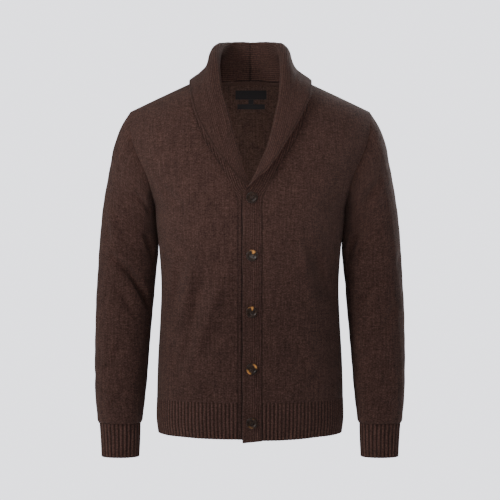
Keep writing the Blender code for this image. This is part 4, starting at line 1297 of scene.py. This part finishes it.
def sewnFlat(name, node, points, normals, finish, depth, hemRise=0.0):
    # normals point out of the body; the face that shows is the inner one
    across, up = runLengths(points, axis=1), runLengths(points, axis=0)
    ends = np.minimum(np.minimum(across, across[:, -1:] - across), np.minimum(up, up[-1:] - up))
    raised = hemRise * (1 - ease((ends - trim["hem"]) / 0.0006))
    outer = points - normals * depth
    inner = points - normals * (depth + trim["wall"] - 0.00025 + raised)[..., None]
    width, length, area = cutSize(points)
    uv = np.stack([across, up], axis=-1)
    made = shell(name, outer, inner, uv, finish, rounding=(trim["edgeRound"],) * 4)
    finishCloth(made, [node])


for word, lowX, highX, lowZ, highZ in labelRows:
    across, height = np.meshgrid(np.linspace(lowX, highX, 60), np.linspace(lowZ, highZ, 28))
    points, normals = onBody(1, 1, across, height)
    mirror = np.stack([np.where(across < 0, -1.0, 1.0), np.ones_like(across), np.ones_like(across)], axis=-1)
    points, normals = points * mirror, normals * mirror
    depth = form["plainWall"] + trim["labelGap"]
    sewnFlat(f"{word}-label", f"label_{word}", points, normals, labelCloth, depth, trim["hemRise"])


def neckTape():
    line = borderLine(1, backNeckLine[::-1], np.linspace(0, 1, 60), givenRise=True)
    seam, seamNormals = bodyPatch(1, 1, line[:, 0], line[:, 1])
    lower, lowerNormals = bodyPatch(1, 1, line[:, 0], line[:, 1] - 0.06)
    step = runLengths(np.stack([seam, lower]))[-1][:, None]
    rows, outward = [], []
    for drop in np.linspace(trim["tapeTop"], trim["tapeFoot"], 9)[::-1]:
        rows.append(seam + (lower - seam) * drop / step)
        outward.append(unit(seamNormals + (lowerNormals - seamNormals) * drop / step))
    points, normals = np.array(rows), np.array(outward)
    flip = np.array([-1, 1, 1])
    points = np.concatenate([points[:, :0:-1] * flip, points], axis=1)
    normals = np.concatenate([normals[:, :0:-1] * flip, normals], axis=1)
    depth = form["plainWall"] + trim["tapeGap"]
    sewnFlat("neck-tape", "neck_tape", points, normals, tapeCloth, depth)


neckTape()
print("labels and tape made")

# a button, its holes and its thread
buttonCut = {
    "across": 0.0035,
    "radius": 0.0105,
    "thick": 0.0034,
    "sides": 72,
    "holeAt": 0.0021,
    "holeRadius": 0.00105,
    "standOff": 0.0008,
    "thread": 0.00042,
    "threadApart": 0.00035,
    "threadSunk": 0.0011,
    "threadArch": 0.0013,
    "threadReach": 1.05,
    "post": 0.0022,
}
# height, how far the cloth stands out under it, tilt back, tilt sideways, amber streaks
# Each streak: angle, distance from the middle, half length, half width, strength. Angles and lengths
# are in degrees, distances and widths in radii.
buttonRows = (
    (-0.2395, 0.0018, 0.11, -0.11, ()),
    (-0.3443, 0.0004, 0.0, 0.01, ((66, 0.66, 23, 0.31, 1.00), (92, 0.92, 22, 0.09, 0.60))),
    (-0.4470, 0.0004, 0.0, -0.01, ((84, 0.64, 16, 0.30, 1.00), (116, 0.90, 20, 0.09, 0.40))),
    (-0.5502, 0.0004, 0.0, 0.0, ((42, 0.82, 32, 0.16, 1.00), (222, 0.82, 34, 0.16, 0.95))),
    (-0.6485, 0.0004, 0.0, 0.01, ((255, 0.80, 30, 0.12, 0.22), (70, 0.70, 16, 0.10, 0.14))),
)
# distance from the middle in radii, height in thicknesses
buttonProfile = (
    (0.10, 0.60), (0.30, 0.60), (0.44, 0.61), (0.54, 0.65), (0.62, 0.76), (0.69, 0.90),
    (0.76, 0.98), (0.83, 1.00), (0.90, 0.97), (0.96, 0.86), (0.99, 0.70), (1.00, 0.52),
    (0.985, 0.34), (0.95, 0.18), (0.88, 0.06), (0.80, 0.0), (0.40, 0.0), (0.10, 0.0),
)


def turned(profile, sides):
    # a closed lathe shape about Z, capped at both ends
    angles = np.arange(sides) * 2 * math.pi / sides
    points = [(out * math.cos(a), out * math.sin(a), up) for out, up in profile for a in angles]
    points += [(0, 0, profile[0][1]), (0, 0, profile[-1][1])]
    faces = []
    for k in range(sides):
        n = (k + 1) % sides
        for r in range(len(profile) - 1):
            faces.append((r * sides + k, (r + 1) * sides + k, (r + 1) * sides + n, r * sides + n))
        faces.append((len(points) - 2, k, n))
        end = (len(profile) - 1) * sides
        faces.append((len(points) - 1, end + n, end + k))
    return np.array(points), faces


def ringFaces(rings, sides):
    # faces between rings of points, going up
    faces = []
    for r in range(rings - 1):
        for k in range(sides):
            n = (k + 1) % sides
            faces.append((r * sides + k, r * sides + n, (r + 1) * sides + n, (r + 1) * sides + k))
    return faces


def joined(parts):
    points, faces, count = [], [], 0
    for somePoints, someFaces in parts:
        points.append(somePoints)
        faces += [tuple(int(k) + count for k in face) for face in someFaces]
        count += len(somePoints)
    return np.concatenate(points), faces


def rod(a, b, radius, sag=0.0, sides=10, rings=9):
    # a short thread from a to b, arched by sag
    a, b = np.array(a, float), np.array(b, float)
    way = unit(b - a)
    across = unit(np.cross(way, (0.0, 0.0, 1.0)))
    over = np.cross(across, way)
    points = []
    for t in np.linspace(0, 1, rings):
        centre = a + (b - a) * t + np.array((0, 0, 4 * sag * t * (1 - t)))
        for k in range(sides):
            angle = k * 2 * math.pi / sides
            points.append(centre + (across * math.cos(angle) + over * math.sin(angle)) * radius)
    ends = [tuple(range(sides))[::-1], tuple((rings - 1) * sides + k for k in range(sides))]
    return np.array(points), ends + ringFaces(rings, sides)


def buttonMesh(number, corners):
    # a turned disc with four holes through it
    radius, thick = buttonCut["radius"], buttonCut["thick"]
    hole = [(buttonCut["holeRadius"], thick * 1.5), (buttonCut["holeRadius"], -thick * 0.5)]
    holes = []
    for x, y in corners:
        points, faces = turned(hole, 20)
        holes.append((points + np.array((x, y, 0)), faces))
    profile = [(out * radius, up * thick) for out, up in buttonProfile]
    disc = newObject(f"button-{number}-turned", *turned(profile, buttonCut["sides"]), horn)
    cutter = newObject("holes", *joined(holes), horn)
    cutting = disc.modifiers.new("holes", "BOOLEAN")
    cutting.object = cutter
    cutting.solver = "EXACT"
    mesh = bpy.data.meshes.new_from_object(disc.evaluated_get(bpy.context.evaluated_depsgraph_get()))
    bpy.data.objects.remove(disc)
    bpy.data.objects.remove(cutter)
    return mesh


def streakAmber(mesh, flat, streaks):
    amber = np.zeros(len(flat))
    angle = np.degrees(np.arctan2(flat[:, 1], flat[:, 0]))
    out = np.linalg.norm(flat[:, :2], axis=1) / buttonCut["radius"]
    for centre, distance, reach, width, strength in streaks:
        off = (angle - centre + 180) % 360 - 180
        wave = distance + 0.05 * np.sin(np.radians(off * 5))
        amber = np.maximum(amber, strength * np.exp(-((off / reach) ** 4)) * closeTo(out - wave, width))
    pointValues(mesh, "amber", amber)


def buttonThreads(corners, lift):
    # two crossed pairs of threads over the middle, and the post behind
    parts = []
    reach = buttonCut["threadReach"]
    sunk = buttonProfile[0][1] * buttonCut["thick"] - buttonCut["threadSunk"]
    for low, high in ((0, 3), (1, 2)):
        for shift in (-buttonCut["threadApart"], buttonCut["threadApart"]):
            a, b = [(corners[k][0] * reach + shift, corners[k][1] * reach, sunk) for k in (low, high)]
            parts.append(rod(a, b, buttonCut["thread"], buttonCut["threadArch"]))
    post = [(buttonCut["post"], 0.0), (0.0020, -0.0003), (buttonCut["post"], -lift - 0.0003)]
    parts.append(turned(post, 16))
    return parts


def makeButtons():
    reach = buttonCut["holeAt"]
    corners = [(reach * math.cos(a), reach * math.sin(a)) for a in np.radians((45, 135, 225, 315))]
    threads = []
    for number, (height, lift, tiltBack, tiltSide, streaks) in enumerate(buttonRows, 1):
        rise = np.array([height - form["underarm"]])
        cloth = bodyPoints(-1, 1, angleAt(np.array([buttonCut["across"]]), rise), rise)[0]
        base = cloth[1] - form["seamGap"] - lift - buttonCut["standOff"]

        def placed(points):
            x, y, z = points.T
            z = z + tiltBack * y + tiltSide * x
            return np.column_stack([buttonCut["across"] + x, base - z, height + y])

        mesh = buttonMesh(number, corners)
        flat = np.array([v.co[:] for v in mesh.vertices])
        streakAmber(mesh, flat, streaks)
        mesh.vertices.foreach_set("co", placed(flat).astype(np.float32).ravel())
        mesh.shade_smooth()
        mesh.set_sharp_from_angle(angle=math.radians(40))
        made = linked(f"button-{number}", mesh)
        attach(made, "root")
        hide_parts(f"button_{number}")
        threads += [(placed(points), faces) for points, faces in buttonThreads(corners, lift)]
    made = newObject("button-threads", *joined(threads), sewingThread)
    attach(made, "root")


makeButtons()
print("buttons made")

# fashioning marks: raised stitches in short rows beside the armhole and neck seams
markCut = {"length": 0.0021, "width": 0.0010, "rise": 0.00024, "lean": 0.35}
armholeUp = armholeLine[::-1]
# facing, side, line, shift across, first height, last height, step
markRows = (
    (-1, 1, frontNeckLine, 0.0125, -0.125, -0.215, 0.0105),
    (-1, -1, frontNeckLine, 0.0125, -0.075, -0.205, 0.0105),
    (-1, 1, armholeUp, -0.0120, -0.165, -0.235, 0.0115),
    (-1, -1, armholeUp, -0.0120, -0.165, -0.235, 0.0115),
    (1, 1, armholeUp, -0.0120, -0.150, -0.235, 0.0115),
    (1, -1, armholeUp, -0.0120, -0.150, -0.235, 0.0115),
)


def bead(centre, way, out, rows=5, sides=8):
    side = np.cross(out, way)
    points = []
    for i in range(rows + 2):
        turn = math.pi * i / (rows + 1)
        for k in range(sides):
            a = k * 2 * math.pi / sides
            local = way * math.cos(turn) * markCut["length"] / 2
            local = local + side * math.sin(turn) * math.cos(a) * markCut["width"] / 2
            local = local + out * math.sin(turn) * math.sin(a) * markCut["rise"]
            points.append(centre + local)
    return np.array(points), ringFaces(rows + 2, sides)


def makeMarks():
    beads = []
    for facing, side, line, shift, high, low, step in markRows:
        heights = np.arange(high, low, -step)
        across = np.interp(heights, line[:, 1], line[:, 0]) + shift
        points, normals = onBody(facing, side, across, heights)
        for point, normal in zip(points, normals):
            way = unit(np.array((side * markCut["lean"], 0, 1.0)) - normal * normal[2])
            beads.append(bead(point, way, normal))
    made = newObject("fashioning-marks", *joined(beads), sewingThread)
    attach(made, "root")


makeMarks()
print("fashioning marks made")

# stage, light and camera
# each lamp: name, watts, size, where it stands, where it points, angle of the beam if it is a narrow one
studio = {
    "lens": 36 * 2.7 / (0.0019 * 500),
    "distance": 2.7,
    "height": -0.3344,
    "floor": -1.3,
    "floorRadius": 2.0,
    "floorSides": 96,
    "floorThick": 0.01,
    "backdrop": (2.25, 2.26, 2.42),
    "air": (0.33, 0.33, 0.341),
    "lamps": (
        ("key light", 71.0, 1.0, (-2.1, -1.9, 0.9), (0, 0, -0.3), 0),
        ("front light", 14.5, 1.2, (0.25, -3.2, 0.5), (0, 0, -0.25), 0),
        ("left side light", 4.0, 1.2, (-2.5, -0.3, 0.1), (0, 0, -0.35), 0),
        ("right side light", 5.0, 1.2, (2.5, -0.5, 0.2), (0, 0, -0.35), 0),
        ("neck light", 2000.0, 0.35, (0.0, -3.0, 0.25), (0, 0.09, -0.055), 4.9),
        ("back light", 84.0, 1.4, (1.9, 2.1, 0.8), (0, 0, -0.3), 0),
    ),
}


def studioFloor():
    sides = studio["floorSides"]
    turns = np.arange(sides) * 2 * math.pi / sides
    ring = np.column_stack([np.cos(turns), np.sin(turns), 0 * turns]) * studio["floorRadius"]
    points = np.vstack([ring, ring - (0, 0, studio["floorThick"])]) + (0, 0, studio["floor"])
    faces = [tuple(range(sides)), tuple(range(2 * sides - 1, sides - 1, -1))]
    faces += [(k, sides + k, sides + (k + 1) % sides, (k + 1) % sides) for k in range(sides)]
    newObject("studio-floor", points, faces, floorFinish())


def studioAir():
    # a pale backdrop, with dimmer light coming from it
    air = bpy.data.worlds.new("studio air")
    air.use_nodes = True
    seen = wire(air.node_tree, "ShaderNodeLightPath").outputs["Is Camera Ray"]
    colors = {"Factor": seen, 6: (*studio["air"], 1), 7: (*studio["backdrop"], 1)}
    pale = wire(air.node_tree, "ShaderNodeMix", colors, data_type="RGBA")
    air.node_tree.links.new(pale.outputs[2], air.node_tree.nodes["Background"].inputs["Color"])
    bpy.context.scene.world = air


def setLamp(name, power, size, place, aim, beam):
    lamp = bpy.data.lights.new(name, "SPOT" if beam else "AREA")
    lamp.energy = power
    if beam:
        lamp.spot_size = math.radians(beam)
        lamp.spot_blend = 1.0
        lamp.shadow_soft_size = size
    else:
        lamp.shape = "DISK"
        lamp.size = size
    made = linked(name, lamp)
    made.location = place
    way = mathutils.Vector(aim) - mathutils.Vector(place)
    made.rotation_euler = way.to_track_quat("-Z", "Y").to_euler()


studioFloor()
studioAir()
for lampRow in studio["lamps"]:
    setLamp(*lampRow)
view = bpy.data.cameras.new("camera")
view.lens = studio["lens"]
camera = linked("camera", view)
camera.location = (0, -studio["distance"], studio["height"])
camera.rotation_euler = (math.pi / 2, 0, 0)
bpy.context.scene.camera = camera
print("studio set")
